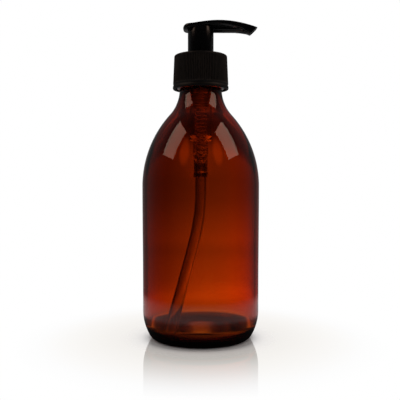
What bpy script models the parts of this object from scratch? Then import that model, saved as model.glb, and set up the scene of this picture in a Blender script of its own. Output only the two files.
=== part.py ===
"""Soap pump dispenser: an amber glass bottle with a screw-on lotion pump.

Every size is in metres. +Z is up, the bottle stands on Z = 0 on its own axis,
and the spout points along +X. The pump is shown unlocked and fully raised.
"""
import math

import bmesh
import bpy
from mathutils import Matrix, Vector

MM = 0.001

# ---------------------------------------------------------------- clearances
GAP = 0.30 * MM               # between faces that touch on the real object
RUNNING_GAP = 0.25 * MM       # radial gap of what slides or turns
PRESS_GAP = 0.15 * MM         # radial gap of what is pressed together
OVERSHOOT = 1.0 * MM          # how far a cutter passes the face it cuts

# -------------------------------------------------------------------- bottle
BODY_RADIUS = 33.0 * MM       # at the foot of the shoulder
PANEL_INSET = 0.28 * MM       # the label panel lies inside the shoulder by this
PANEL_TOP = 28.0 * MM         # where the panel starts to widen
WALL = 2.4 * MM
FLOOR_THICKNESS = 4.4 * MM
FLOOR_CROWN = 0.8 * MM        # rise of the floor's middle above its edge
FLOOR_CORNER_RADIUS = 5.2 * MM
HEEL_RADIUS = 27.3 * MM       # long arc from the panel down
HEEL_CORNER_RADIUS = 5.0 * MM
HEEL_HEIGHT = 16.0 * MM
BEARING_WIDTH = 1.6 * MM      # flat ring the bottle stands on
PUSH_UP = 2.0 * MM            # height of the dome under the floor
PUSH_UP_CORNER = 1.2 * MM
SHOULDER_START = 85.8 * MM
SHOULDER_RADIUS = 60.2 * MM
NECK_INSET = 0.6 * MM         # the neck lies inside the thread root by this
NECK_FILLET = 22.0 * MM

# -------------------------------------------------------------- screw finish
FINISH_HEIGHT = 14.2 * MM     # from the top of the neck's curve to the lip
FINISH_RADIUS = 12.5 * MM     # root of the glass thread
FINISH_WALL = 3.1 * MM
LIP_ROUND = 0.7 * MM
BEAD_STAND = 1.1 * MM         # how far the locking bead stands out under the thread
BEAD_HEIGHT = 2.6 * MM
BEAD_ROUND = 0.7 * MM
THREAD_PITCH = 4.233 * MM
THREAD_TURNS = 1.5
THREAD_HEIGHT = 1.2 * MM      # how far the glass thread stands out
THREAD_SUNK = 0.1 * MM        # how deep each thread's centre line is sunk
THREAD_FIRST = 5.3 * MM       # first turn, above the foot of the finish

# -------------------------------------------------------------------- collar
COLLAR_WALL = 1.5 * MM
COLLAR_THREAD_ROOM = 0.55 * MM  # from the glass thread's crest to the wall
COLLAR_RIB_INSET = 0.13 * MM  # the ribs' foot lies inside the bead by this
COLLAR_TAPER = 0.67 * MM      # and their top inside their foot by this
COLLAR_BAND_INSET = 0.25 * MM
COLLAR_DECK = 1.6 * MM
COLLAR_FOOT_DROP = 0.3 * MM   # how far the foot hangs below the locking bead
COLLAR_TOP_ROUND = 0.8 * MM
BAND_HEIGHT = 2.9 * MM        # smooth foot of the collar, under the ribs
BAND_BEAD_HEIGHT = 1.9 * MM
RIB_COUNT = 100
RIB_GROOVE_WIDTH = 0.52 * MM
RIB_TOP_MARGIN = 0.9 * MM
COLLAR_THREAD_HEIGHT = 0.9 * MM

# ------------------------------------------------------ housing and lock ring
GASKET_THICKNESS = 1.0 * MM
FLANGE_THICKNESS = 1.0 * MM
HOUSING_WALL = 0.65 * MM
CUP_GAP = 0.48 * MM           # between the cup and the bottle's bore
CYLINDER_OUTER = 6.5 * MM     # wide cylinder, where the piston runs
CYLINDER_WALL = 0.75 * MM
CYLINDER_LENGTH = 35.5 * MM   # wide cylinder, below the cup's floor
CYLINDER_CONE = 2.2 * MM
BARREL_LENGTH = 6.7 * MM      # narrow cylinder round the spring's foot
BARREL_WALL = 0.5 * MM
SEAT_BAND_HEIGHT = 1.5 * MM
BALL_RADIUS = 2.25 * MM
BALL_ROOM = 0.35 * MM         # between the ball and its chamber's wall
BALL_LIFT = 1.7 * MM
BALL_STOP_HEIGHT = 0.45 * MM   # lip that keeps the ball in its chamber
BALL_SEAT_WIDTH = 0.65 * MM    # the port is narrower than the ball by this
SOCKET_LENGTH = 8.4 * MM      # how far the dip tube goes in
SOCKET_WALL = 0.5 * MM
SOCKET_RIM_HEIGHT = 3.2 * MM
SOCKET_RIM = 0.2 * MM
RING_WALL = 0.5 * MM
RING_RIM_OVERHANG = 1.08 * MM
RING_RIM_HEIGHT = 0.8 * MM
RING_FLOOR = 1.0 * MM
WELL_CLEARANCE = 0.4 * MM     # left under the skirt at full stroke
RING_GUIDE_HEIGHT = 3.0 * MM
RING_GUIDE_WALL = 0.6 * MM
STOP_POST_ANGLE = math.radians(30)
STOP_POST_CLEARANCE = 0.57 * MM  # between the posts and the head's boss

# ------------------------------------------------------------------- plunger
STROKE = 11.0 * MM
STEM_RADIUS = 2.85 * MM
STEM_WALL = 1.15 * MM
STEM_SHOULDER_STAND = 1.35 * MM
STEM_SHOULDER_HEIGHT = 1.4 * MM
PISTON_HEIGHT = 5.5 * MM
PISTON_SLIP = 1.2 * MM
PISTON_PASSAGE = 0.6 * MM      # liquid's way between rod and piston
PISTON_LIP = 1.2 * MM
PISTON_WAIST_DEPTH = 0.9 * MM
PISTON_SPARE = 6.2 * MM       # left under the rod's foot seat at full stroke
ROD_SHOULDER = 0.6 * MM       # the rod is wider than the stem's bore by this
ROD_FOOT_STAND = 0.35 * MM    # and its foot wider than the spring by this
ROD_FOOT_HEIGHT = 1.8 * MM
ROD_PLUG_LENGTH = 7.0 * MM
ROD_PORT_WIDTH = 1.2 * MM
ROD_PORT_HEIGHT = 3.0 * MM
SPRING_WIRE_RADIUS = 0.4 * MM
SPRING_RADIUS = 3.15 * MM     # centre line of the coil
SPRING_TURNS = 12.0

# ------------------------------------------------------------------ dip tube
TUBE_RADIUS = 3.25 * MM
TUBE_WALL = 0.8 * MM
TUBE_STRAIGHT = 3.0 * MM      # straight stretch below the socket
TUBE_BEND_LENGTH = 39.0 * MM
TUBE_SIDE_GAP = 1.9 * MM      # between its foot and the bottle's inner wall
TUBE_HEADING = math.radians(228.5)
TUBE_FLOOR_GAP = 0.3 * MM

# ---------------------------------------------------------------------- head
SKIRT_WALL = 0.85 * MM
SKIRT_BELOW_RIM = 0.6 * MM    # the skirt starts inside the lock ring
HEAD_CLEARANCE = 1.0 * MM     # left between rim and head at full stroke
BOSS_WALL = 1.0 * MM
FIN_THICKNESS = 1.0 * MM
SPOUT_REACH = 32.0 * MM       # upper corner of the tip
SPOUT_CUT_RUN = 3.2 * MM      # the tip's lower corner is set back by this
SPOUT_CUT_DROP = 3.1 * MM     # and is this much lower
REAR_EAVE = 2.73 * MM         # the rear lobe passes the skirt by this
PLATE_INSET = 0.17 * MM       # the plate is narrower than the skirt by this, each side
SPOUT_HALF_WIDTH = 3.4 * MM
TAPER_START = 6.0 * MM        # where the plate starts to narrow
TAPER_END = 28.0 * MM
PLATE_THICKNESS = 3.1 * MM
PLATE_CORNER = 5.0 * MM       # length over which the plate's rear end rounds off
PLATE_SQUARENESS = 2.6        # exponent of that end: 2 is round, more is squarer
LOBE_EXTRA = 0.3 * MM         # more thickness at the rear lobe
LOBE_LENGTH = 4.5 * MM
LOBE_ROUND = 2.2 * MM
LOBE_LIFT = 0.6 * MM          # the top line turns up by this at the rear
LOBE_LIFT_LENGTH = 7.0 * MM
SPOUT_EXTRA = 1.0 * MM        # and along the spout
CREST_X = 13.5 * MM
CREST_HEIGHT = 6.2 * MM       # above the head's underside
REAR_ARC = 95.0 * MM          # top line behind the crest
FRONT_ARC = 52.0 * MM         # top line ahead of the crest
BELLY_HALF_WIDTH = 3.2 * MM   # rounded spout under the plate
BELLY_DROP = 0.3 * MM         # the belly's fall towards the tip
BELLY_FALL_START = 18.0 * MM
CHANNEL_RADIUS = 1.45 * MM
CHANNEL_HEIGHT = 2.5 * MM     # of its centre line, above the head's underside
MOUTH_WIDTH = 2.4 * MM
MOUTH_HEIGHT = 1.6 * MM
MOUTH_DEPTH = 2.5 * MM

# --------------------------------------------------------------- resolutions
BOTTLE_SEGMENTS = 36
COLLAR_SEGMENTS = 40
PUMP_SEGMENTS = 24
STEM_SEGMENTS = 20

# ------------------------------------------------------------- derived radii
PANEL_RADIUS = BODY_RADIUS - PANEL_INSET
INSIDE_RADIUS = PANEL_RADIUS - WALL
NECK_RADIUS = FINISH_RADIUS - NECK_INSET
BORE_RADIUS = FINISH_RADIUS - FINISH_WALL
BEAD_RADIUS = FINISH_RADIUS + BEAD_STAND
COLLAR_INNER = FINISH_RADIUS + THREAD_HEIGHT + COLLAR_THREAD_ROOM
COLLAR_BEAD_RADIUS = COLLAR_INNER + COLLAR_WALL
COLLAR_RIB_FOOT_RADIUS = COLLAR_BEAD_RADIUS - COLLAR_RIB_INSET
COLLAR_TOP_RADIUS = COLLAR_RIB_FOOT_RADIUS - COLLAR_TAPER
CUP_OUTER = BORE_RADIUS - CUP_GAP
CUP_RADIUS = CUP_OUTER - HOUSING_WALL
RING_RADIUS = CUP_RADIUS - RUNNING_GAP
RING_RIM_RADIUS = RING_RADIUS + RING_RIM_OVERHANG
WELL_RADIUS = RING_RADIUS - RING_WALL
SKIRT_RADIUS = WELL_RADIUS - RUNNING_GAP
REAR_OVERHANG = SKIRT_RADIUS + REAR_EAVE
PLATE_HALF_WIDTH = SKIRT_RADIUS - PLATE_INSET
CYLINDER_INNER = CYLINDER_OUTER - CYLINDER_WALL
STEM_BORE = STEM_RADIUS - STEM_WALL
STEM_SHOULDER_RADIUS = STEM_RADIUS + STEM_SHOULDER_STAND
BOSS_RADIUS = STEM_RADIUS + PRESS_GAP + BOSS_WALL
GUIDE_OUTER = STEM_RADIUS + RUNNING_GAP + RING_GUIDE_WALL
ROD_RADIUS = STEM_BORE + ROD_SHOULDER
PISTON_BORE = ROD_RADIUS + PISTON_PASSAGE
SPRING_OUTER = SPRING_RADIUS + SPRING_WIRE_RADIUS
ROD_FOOT_RADIUS = SPRING_OUTER + ROD_FOOT_STAND
BARREL_INNER = SPRING_OUTER + RUNNING_GAP
BARREL_OUTER = BARREL_INNER + BARREL_WALL
BALL_CHAMBER_RADIUS = BALL_RADIUS + BALL_ROOM
BALL_PORT_RADIUS = BALL_RADIUS - BALL_SEAT_WIDTH
BALL_STOP_RADIUS = BALL_RADIUS - PRESS_GAP
TUBE_BORE = TUBE_RADIUS - TUBE_WALL
SOCKET_RADIUS = TUBE_RADIUS + PRESS_GAP
SOCKET_OUTER = SOCKET_RADIUS + SOCKET_WALL

# ----------------------------------------------------------- derived heights
NECK_TOP = SHOULDER_START + math.sqrt(
    (SHOULDER_RADIUS + NECK_FILLET) ** 2
    - (NECK_RADIUS + NECK_FILLET - BODY_RADIUS + SHOULDER_RADIUS) ** 2)
LIP_Z = NECK_TOP + FINISH_HEIGHT
BEAD_BOTTOM = NECK_TOP
BEAD_TOP = BEAD_BOTTOM + BEAD_HEIGHT
GASKET_BOTTOM = LIP_Z + GAP
FLANGE_BOTTOM = GASKET_BOTTOM + GASKET_THICKNESS + GAP
FLANGE_TOP = FLANGE_BOTTOM + FLANGE_THICKNESS
DECK_BOTTOM = FLANGE_TOP + GAP
DECK_TOP = DECK_BOTTOM + COLLAR_DECK
COLLAR_BOTTOM = BEAD_BOTTOM - COLLAR_FOOT_DROP
BAND_TOP = COLLAR_BOTTOM + BAND_HEIGHT
RIM_BOTTOM = DECK_TOP + GAP
RIM_TOP = RIM_BOTTOM + RING_RIM_HEIGHT
SKIRT_BOTTOM = RIM_TOP - SKIRT_BELOW_RIM
WELL_FLOOR = SKIRT_BOTTOM - STROKE - WELL_CLEARANCE
RING_BOTTOM = WELL_FLOOR - RING_FLOOR
CUP_FLOOR = RING_BOTTOM - GAP
GUIDE_TOP = WELL_FLOOR + RING_GUIDE_HEIGHT
CYLINDER_STEP = CUP_FLOOR - CYLINDER_LENGTH
SPRING_SEAT = CYLINDER_STEP - BARREL_LENGTH
PISTON_FOOT = CYLINDER_STEP + CYLINDER_CONE + STROKE + PISTON_SPARE
PISTON_BOTTOM = PISTON_FOOT + GAP
STEM_SHOULDER = PISTON_BOTTOM + PISTON_HEIGHT + PISTON_SLIP + GAP
HEAD_UNDERSIDE = RIM_TOP + STROKE + HEAD_CLEARANCE
HEAD_CEILING = HEAD_UNDERSIDE - GAP
BOSS_BOTTOM = GUIDE_TOP + STROKE + GAP
FIN_BOTTOM = SKIRT_BOTTOM + GAP
POST_TOP = FIN_BOTTOM - GAP
SOCKET_TOP = HEAD_UNDERSIDE + CHANNEL_HEIGHT - CHANNEL_RADIUS * 0.9
STEM_TOP = SOCKET_TOP - GAP


# ------------------------------------------------------------------- helpers
def clear_scene():
    """Remove every object of the start-up scene."""
    for obj in list(bpy.data.objects):
        bpy.data.objects.remove(obj, do_unlink=True)


def make_collection(name):
    """Add a collection to the scene."""
    group = bpy.data.collections.new(name)
    bpy.context.scene.collection.children.link(group)
    return group


def make_material(name, color, roughness, metallic=0.0, transmission=0.0, alpha=1.0):
    """A Principled BSDF with a base colour, roughness and metallic value."""
    material = bpy.data.materials.new(name)
    material.use_nodes = True
    shader = material.node_tree.nodes["Principled BSDF"]
    shader.inputs["Base Color"].default_value = (*color, 1.0)
    shader.inputs["Roughness"].default_value = roughness
    shader.inputs["Metallic"].default_value = metallic
    shader.inputs["Transmission Weight"].default_value = transmission
    shader.inputs["Alpha"].default_value = alpha
    material.diffuse_color = (*color, alpha)
    return material


def add_object(name, data, group, material=None):
    """Link new object data into a collection, under a name and a material."""
    obj = bpy.data.objects.new(name, data)
    group.objects.link(obj)
    if material is not None:
        data.materials.append(material)
    return obj


def hide_cutter(obj):
    """Keep a cutter out of the model."""
    obj.hide_render = True
    obj.display_type = "WIRE"


def arc(center, radius, start, end, count):
    """Points of an arc in the XZ plane, angles in degrees from +X towards +Z."""
    points = []
    for i in range(count + 1):
        angle = math.radians(start + (end - start) * i / count)
        points.append((center[0] + radius * math.cos(angle), center[1] + radius * math.sin(angle)))
    return points


def turned(name, profile, segments, group, material=None, closed=True):
    """Turn a profile of (radius, z) points round the Z axis.

    The profile runs down its outer side. A closed one is a ring, and an open
    one starts and ends on the axis.
    """
    mesh = bpy.data.meshes.new(name)
    points = [(radius, 0.0, z) for radius, z in profile]
    edges = [(i, i + 1) for i in range(len(points) - 1)]
    if closed:
        edges.append((len(points) - 1, 0))
    mesh.from_pydata(points, edges, [])
    obj = add_object(name, mesh, group, material)
    screw = obj.modifiers.new("turn", "SCREW")
    screw.axis = "Z"
    screw.angle = math.tau
    screw.steps = segments
    screw.render_steps = segments
    screw.use_merge_vertices = True
    screw.merge_threshold = 0.00001
    screw.use_smooth_shade = True
    return obj


def boolean(target, operand, operation="DIFFERENCE"):
    """Cut a target by an operand, or join the operand to it."""
    modifier = target.modifiers.new(operation.lower() + "_" + operand.name, "BOOLEAN")
    modifier.operation = operation
    modifier.object = operand
    hide_cutter(operand)
    return modifier


def curve_object(name, points, radius, group, resolution=2, taper=None):
    """A round bar along a list of points, with filled caps."""
    curve = bpy.data.curves.new(name, "CURVE")
    curve.dimensions = "3D"
    curve.bevel_depth = radius
    curve.bevel_resolution = resolution
    curve.use_fill_caps = True
    spline = curve.splines.new("POLY")
    spline.points.add(len(points) - 1)
    for i, point in enumerate(points):
        spline.points[i].co = (*point, 1.0)
        if taper is not None:
            spline.points[i].radius = taper(i / (len(points) - 1))
    return add_object(name, curve, group)


def mesh_from_curve(obj, group, material=None):
    """Turn a curve object into a mesh object with welded caps."""
    depsgraph = bpy.context.evaluated_depsgraph_get()
    mesh = bpy.data.meshes.new_from_object(obj.evaluated_get(depsgraph))
    work = bmesh.new()
    work.from_mesh(mesh)
    bmesh.ops.remove_doubles(work, verts=work.verts, dist=0.000005)
    bmesh.ops.recalc_face_normals(work, faces=work.faces)
    work.to_mesh(mesh)
    work.free()
    name = obj.name
    matrix = obj.matrix_world.copy()
    bpy.data.objects.remove(obj, do_unlink=True)
    solid = add_object(name + "_solid", mesh, group, material)
    solid.matrix_world = matrix
    return solid


def helix(radius, start_z, pitch, turns, steps_per_turn, start_angle=0.0):
    """Points of a right-hand helix round the Z axis."""
    count = round(turns * steps_per_turn)
    points = []
    for i in range(count + 1):
        turn = turns * i / count
        angle = start_angle + math.tau * turn
        points.append((radius * math.cos(angle), radius * math.sin(angle), start_z + pitch * turn))
    return points


def thread_bead(name, radius, bead, start_z, start_angle, group):
    """A round thread that fades in and out over its first and last eighth."""
    points = helix(radius, start_z, THREAD_PITCH, THREAD_TURNS, 20, start_angle)
    curve = curve_object(name, points, bead, group, 2,
                         lambda t: min(1.0, 0.25 + 8 * min(t, 1 - t)))
    return mesh_from_curve(curve, group)


def box(name, size, place, group):
    """A box of a size, moved and turned by a matrix."""
    work = bmesh.new()
    bmesh.ops.create_cube(work, size=1.0)
    bmesh.ops.transform(work, matrix=place @ Matrix.Diagonal((*size, 1.0)), verts=work.verts)
    mesh = bpy.data.meshes.new(name)
    work.to_mesh(mesh)
    work.free()
    return add_object(name, mesh, group)


def ease(t):
    """Smooth step from 0 to 1."""
    t = min(max(t, 0.0), 1.0)
    return t * t * (3 - 2 * t)


# ------------------------------------------------------------------ the glass
def shoulder_arcs(offset, count):
    """The shoulder and neck arcs, set in from the outside, neck first."""
    shoulder = (BODY_RADIUS - SHOULDER_RADIUS, SHOULDER_START)
    neck = (NECK_RADIUS + NECK_FILLET, NECK_TOP)
    turn = math.degrees(math.atan2(neck[1] - shoulder[1], neck[0] - shoulder[0]))
    neck_arc = arc(neck, NECK_FILLET + offset, 180, 180 + turn, count)
    shoulder_arc = arc(shoulder, SHOULDER_RADIUS - offset, turn, 0, count + 1)
    return neck_arc + shoulder_arc[1:]


def bottle_profile():
    """From the floor's middle up the inside, over the lip and down the outside."""
    lip = [(FINISH_RADIUS - LIP_ROUND, LIP_Z)]
    lip += arc((FINISH_RADIUS - LIP_ROUND, LIP_Z - LIP_ROUND), LIP_ROUND, 60, 0, 2)
    bead_edge = BEAD_RADIUS - BEAD_ROUND
    bead = [(FINISH_RADIUS, BEAD_TOP)]
    bead += arc((bead_edge, BEAD_TOP - BEAD_ROUND), BEAD_ROUND, 70, 0, 2)
    bead += arc((bead_edge, BEAD_BOTTOM + BEAD_ROUND), BEAD_ROUND, 0, -70, 2)
    outer = shoulder_arcs(0.0, 4)

    widening = []
    for t in (1 / 2, 1.0):
        z = SHOULDER_START + (PANEL_TOP - SHOULDER_START) * t
        widening.append((BODY_RADIUS + (PANEL_RADIUS - BODY_RADIUS) * ease(t), z))

    heel_center = (PANEL_RADIUS - HEEL_RADIUS, HEEL_HEIGHT)
    reach = HEEL_RADIUS - HEEL_CORNER_RADIUS
    drop = HEEL_HEIGHT - HEEL_CORNER_RADIUS
    ring_radius = heel_center[0] + math.sqrt(reach ** 2 - drop ** 2)
    turn = math.degrees(math.asin(drop / reach))
    heel = arc(heel_center, HEEL_RADIUS, 0, -turn, 3)
    heel += arc((ring_radius, HEEL_CORNER_RADIUS), HEEL_CORNER_RADIUS, -turn, -90, 3)[1:]

    inner_edge = ring_radius - BEARING_WIDTH
    ring = [(inner_edge, 0.0)]
    ring += arc((inner_edge, PUSH_UP_CORNER), PUSH_UP_CORNER, -90, -150, 2)[1:]
    dome = []
    for t in (0.6, 0.0):
        dome.append((inner_edge * t, PUSH_UP + (PUSH_UP_CORNER - PUSH_UP) * 0.6 * t * t))

    floor_edge = INSIDE_RADIUS - FLOOR_CORNER_RADIUS
    floor = [(0.0, FLOOR_THICKNESS + FLOOR_CROWN)]
    floor.append((floor_edge * 0.5, FLOOR_THICKNESS + FLOOR_CROWN * 0.75))
    floor += arc((floor_edge, FLOOR_THICKNESS + FLOOR_CORNER_RADIUS), FLOOR_CORNER_RADIUS, -90, 0, 3)
    inside = [(INSIDE_RADIUS, PANEL_TOP)]
    inside += list(reversed([(radius - WALL, z) for radius, z in widening[:1]]))
    inside += list(reversed(shoulder_arcs(WALL, 4)))
    mouth = [(BORE_RADIUS, BEAD_BOTTOM + GAP), (BORE_RADIUS, LIP_Z - LIP_ROUND)]
    mouth.append((BORE_RADIUS + LIP_ROUND * 0.3, LIP_Z - LIP_ROUND * 0.3))
    mouth.append((BORE_RADIUS + LIP_ROUND, LIP_Z))
    return floor + inside + mouth + lip + bead + outer + widening + heel + ring + dome


def make_bottle(group, cutters, material):
    """The glass bottle with its screw thread."""
    bottle = turned("bottle", bottle_profile(), BOTTLE_SEGMENTS, group, material, closed=False)
    crest = FINISH_RADIUS + THREAD_HEIGHT
    bead = THREAD_HEIGHT + THREAD_SUNK
    thread = thread_bead("bottle_thread", crest - bead, bead, NECK_TOP + THREAD_FIRST, 0.0, cutters)
    boolean(bottle, thread, "UNION")
    return bottle


# ----------------------------------------------------------------- the collar
def collar_profile():
    """Ribbed wall, smooth foot with a bead, threaded inside and a pierced deck."""
    top_center = (COLLAR_TOP_RADIUS - COLLAR_TOP_ROUND, DECK_TOP - COLLAR_TOP_ROUND)
    outer = arc(top_center, COLLAR_TOP_ROUND, 90, 0, 3)
    outer.append((COLLAR_RIB_FOOT_RADIUS, BAND_TOP))
    band_radius = COLLAR_RIB_FOOT_RADIUS - COLLAR_BAND_INSET
    outer.append((band_radius, BAND_TOP - COLLAR_BAND_INSET))
    bead_middle = COLLAR_BOTTOM + BAND_BEAD_HEIGHT / 2
    outer.append((band_radius, COLLAR_BOTTOM + BAND_BEAD_HEIGHT))
    outer.append((COLLAR_BEAD_RADIUS, bead_middle))
    outer.append((COLLAR_BEAD_RADIUS - COLLAR_WALL * 0.2, COLLAR_BOTTOM))
    inner = [(COLLAR_INNER + COLLAR_WALL * 0.2, COLLAR_BOTTOM)]
    inner.append((COLLAR_INNER, COLLAR_BOTTOM + COLLAR_WALL * 0.3))
    inner.append((COLLAR_INNER, DECK_BOTTOM))
    hole = RING_RADIUS + RUNNING_GAP
    inner.append((hole, DECK_BOTTOM))
    inner.append((hole, DECK_TOP))
    return outer + inner


def make_rib_grooves(cutters):
    """V-grooves between the ribs, laid along the collar's taper."""
    low = BAND_TOP + RIB_GROOVE_WIDTH
    high = DECK_TOP - RIB_TOP_MARGIN
    length = high - low
    rise = DECK_TOP - COLLAR_TOP_ROUND - BAND_TOP
    slope = (COLLAR_RIB_FOOT_RADIUS - COLLAR_TOP_RADIUS) / rise
    radius = COLLAR_RIB_FOOT_RADIUS - slope * (low + length / 2 - BAND_TOP)
    work = bmesh.new()
    for i in range(RIB_COUNT):
        made = bmesh.ops.create_cone(work, cap_ends=True, segments=4, radius1=RIB_GROOVE_WIDTH / 2,
                                     radius2=RIB_GROOVE_WIDTH / 2, depth=length)
        place = (Matrix.Rotation(math.tau * (i + 0.5) / RIB_COUNT, 4, "Z")
                 @ Matrix.Translation((radius, 0.0, low + length / 2))
                 @ Matrix.Rotation(-math.atan(slope), 4, "Y"))
        bmesh.ops.transform(work, matrix=place, verts=made["verts"])
    mesh = bpy.data.meshes.new("rib_grooves")
    work.to_mesh(mesh)
    work.free()
    return add_object("rib_grooves", mesh, cutters)


def make_collar(group, cutters, material):
    """The screw collar."""
    collar = turned("collar", collar_profile(), COLLAR_SEGMENTS, group, material)
    bead = COLLAR_THREAD_HEIGHT + THREAD_SUNK
    start = NECK_TOP + THREAD_FIRST + THREAD_PITCH / 2
    thread = thread_bead("collar_thread", COLLAR_INNER + THREAD_SUNK, bead, start, 0.0, cutters)
    boolean(collar, thread, "UNION")
    boolean(collar, make_rib_grooves(cutters))
    return collar


# --------------------------------------------------- gasket, ring and housing
def make_gasket(group, material):
    """Flat washer between the glass lip and the housing's flange."""
    outer = FINISH_RADIUS
    inner = CUP_OUTER + RUNNING_GAP
    top = GASKET_BOTTOM + GASKET_THICKNESS
    profile = [(outer, top), (outer, GASKET_BOTTOM), (inner, GASKET_BOTTOM), (inner, top)]
    return turned("gasket", profile, PUMP_SEGMENTS, group, material)


def make_lock_ring(group, cutters, material):
    """Cup that guides the head's skirt and stem, with two stop posts."""
    guide = STEM_RADIUS + RUNNING_GAP
    profile = [
        (WELL_RADIUS, RIM_TOP),
        (RING_RIM_RADIUS, RIM_TOP),
        (RING_RIM_RADIUS, RIM_BOTTOM),
        (RING_RADIUS, RIM_BOTTOM),
        (RING_RADIUS, RING_BOTTOM),
        (guide, RING_BOTTOM),
        (guide, GUIDE_TOP),
        (GUIDE_OUTER, GUIDE_TOP),
        (GUIDE_OUTER, WELL_FLOOR),
        (WELL_RADIUS, WELL_FLOOR),
    ]
    ring = turned("lock_ring", profile, PUMP_SEGMENTS, group, material)
    outer = SKIRT_RADIUS - SKIRT_WALL - RUNNING_GAP
    inner = BOSS_RADIUS + STOP_POST_CLEARANCE
    for i, heading in enumerate((90, 270)):
        half = math.degrees(STOP_POST_ANGLE) / 2
        outline = arc((0.0, 0.0), outer, heading - half, heading + half, 3)
        outline += arc((0.0, 0.0), inner, heading + half, heading - half, 3)
        base = WELL_FLOOR - RING_FLOOR / 2
        post = extruded("stop_post_%d" % (i + 1), outline, base, POST_TOP, cutters)
        boolean(ring, post, "UNION")
    return ring


def extruded(name, outline, low, high, group):
    """A flat outline of (x, y) points, stood up between two heights."""
    curve = bpy.data.curves.new(name, "CURVE")
    curve.dimensions = "2D"
    curve.fill_mode = "BOTH"
    curve.extrude = (high - low) / 2
    spline = curve.splines.new("POLY")
    spline.points.add(len(outline) - 1)
    for i, (x, y) in enumerate(outline):
        spline.points[i].co = (x, y, 0.0, 1.0)
    spline.use_cyclic_u = True
    obj = add_object(name, curve, group)
    obj.matrix_world = Matrix.Translation((0.0, 0.0, (low + high) / 2))
    return mesh_from_curve(obj, group)


def ball_seat():
    """Where the ball's 45 degree seat starts, and where the ball rests on it."""
    reach = BALL_RADIUS + PRESS_GAP
    stop = SPRING_SEAT - BALL_STOP_HEIGHT - math.sqrt(reach ** 2 - BALL_STOP_RADIUS ** 2)
    center = stop - BALL_LIFT
    seat_top = center + BALL_CHAMBER_RADIUS - 2 * reach * math.cos(math.radians(45))
    return seat_top, center


def make_housing(group, material):
    """Pump cylinder: flange, cup, wide cylinder, spring barrel, valve, socket."""
    flange_radius = FINISH_RADIUS - PRESS_GAP
    cup_under = CUP_FLOOR - HOUSING_WALL * 1.4
    wide_top = cup_under - (CUP_OUTER - CYLINDER_OUTER) * 0.5
    barrel_bottom = SPRING_SEAT - SEAT_BAND_HEIGHT * 0.6
    seat_top, _center = ball_seat()
    seat_drop = BALL_CHAMBER_RADIUS - BALL_PORT_RADIUS
    port_bottom = seat_top - seat_drop - HOUSING_WALL
    socket_bottom = port_bottom - SOCKET_LENGTH
    profile = [
        (flange_radius, FLANGE_TOP),
        (flange_radius, FLANGE_BOTTOM),
        (CUP_OUTER, FLANGE_BOTTOM),
        (CUP_OUTER, cup_under),
        (CYLINDER_OUTER, wide_top),
        (CYLINDER_OUTER, CYLINDER_STEP),
        (BARREL_OUTER, CYLINDER_STEP - CYLINDER_CONE * 0.4),
        (BARREL_OUTER, barrel_bottom),
        (SOCKET_OUTER, barrel_bottom - SEAT_BAND_HEIGHT * 0.2),
        (SOCKET_OUTER + SOCKET_RIM, barrel_bottom - SEAT_BAND_HEIGHT * 0.4),
        (SOCKET_OUTER + SOCKET_RIM, barrel_bottom - SEAT_BAND_HEIGHT),
        (SOCKET_OUTER, barrel_bottom - SEAT_BAND_HEIGHT * 1.2),
        (SOCKET_OUTER, socket_bottom + SOCKET_RIM_HEIGHT),
        (SOCKET_OUTER + SOCKET_RIM, socket_bottom + SOCKET_RIM_HEIGHT - SOCKET_RIM),
        (SOCKET_OUTER + SOCKET_RIM, socket_bottom),
        (SOCKET_RADIUS, socket_bottom),
        (SOCKET_RADIUS, port_bottom),
        (BALL_PORT_RADIUS, port_bottom),
        (BALL_PORT_RADIUS, seat_top - seat_drop),
        (BALL_CHAMBER_RADIUS, seat_top),
        (BALL_CHAMBER_RADIUS, SPRING_SEAT - BALL_STOP_HEIGHT - PRESS_GAP),
        (BALL_STOP_RADIUS, SPRING_SEAT - BALL_STOP_HEIGHT),
        (BALL_STOP_RADIUS, SPRING_SEAT),
        (BARREL_INNER, SPRING_SEAT),
        (BARREL_INNER, CYLINDER_STEP + CYLINDER_CONE * 0.2),
        (CYLINDER_INNER, CYLINDER_STEP + CYLINDER_CONE),
        (CYLINDER_INNER, CUP_FLOOR),
        (CUP_RADIUS, CUP_FLOOR),
        (CUP_RADIUS, FLANGE_TOP),
    ]
    return turned("housing", profile, PUMP_SEGMENTS, group, material)


def make_ball(group, material):
    """Inlet ball, resting on its seat."""
    _seat_top, center = ball_seat()
    work = bmesh.new()
    bmesh.ops.create_uvsphere(work, u_segments=16, v_segments=10, radius=BALL_RADIUS)
    mesh = bpy.data.meshes.new("inlet_ball")
    work.to_mesh(mesh)
    work.free()
    ball = add_object("inlet_ball", mesh, group, material)
    ball.location = (0.0, 0.0, center)
    mesh.shade_smooth()
    return ball


def make_spring(group, material):
    """Return spring, with a closed turn at each end."""
    low = SPRING_SEAT + GAP + SPRING_WIRE_RADIUS
    high = PISTON_FOOT - ROD_FOOT_HEIGHT - GAP - SPRING_WIRE_RADIUS
    closed = 1.0
    wire = SPRING_WIRE_RADIUS * 2.15
    open_turns = SPRING_TURNS - 2 * closed
    open_rise = high - low - 2 * closed * wire
    steps = 10
    count = round(SPRING_TURNS * steps)
    points = []
    for i in range(count + 1):
        turn = SPRING_TURNS * i / count
        rise = wire * min(turn, closed)
        rise += open_rise * min(max(turn - closed, 0.0), open_turns) / open_turns
        rise += wire * max(turn - closed - open_turns, 0.0)
        angle = math.tau * turn
        points.append((SPRING_RADIUS * math.cos(angle), SPRING_RADIUS * math.sin(angle), low + rise))
    curve = curve_object("spring_wire", points, SPRING_WIRE_RADIUS, group, 2)
    spring = mesh_from_curve(curve, group, material)
    spring.name = "spring"
    return spring


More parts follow.
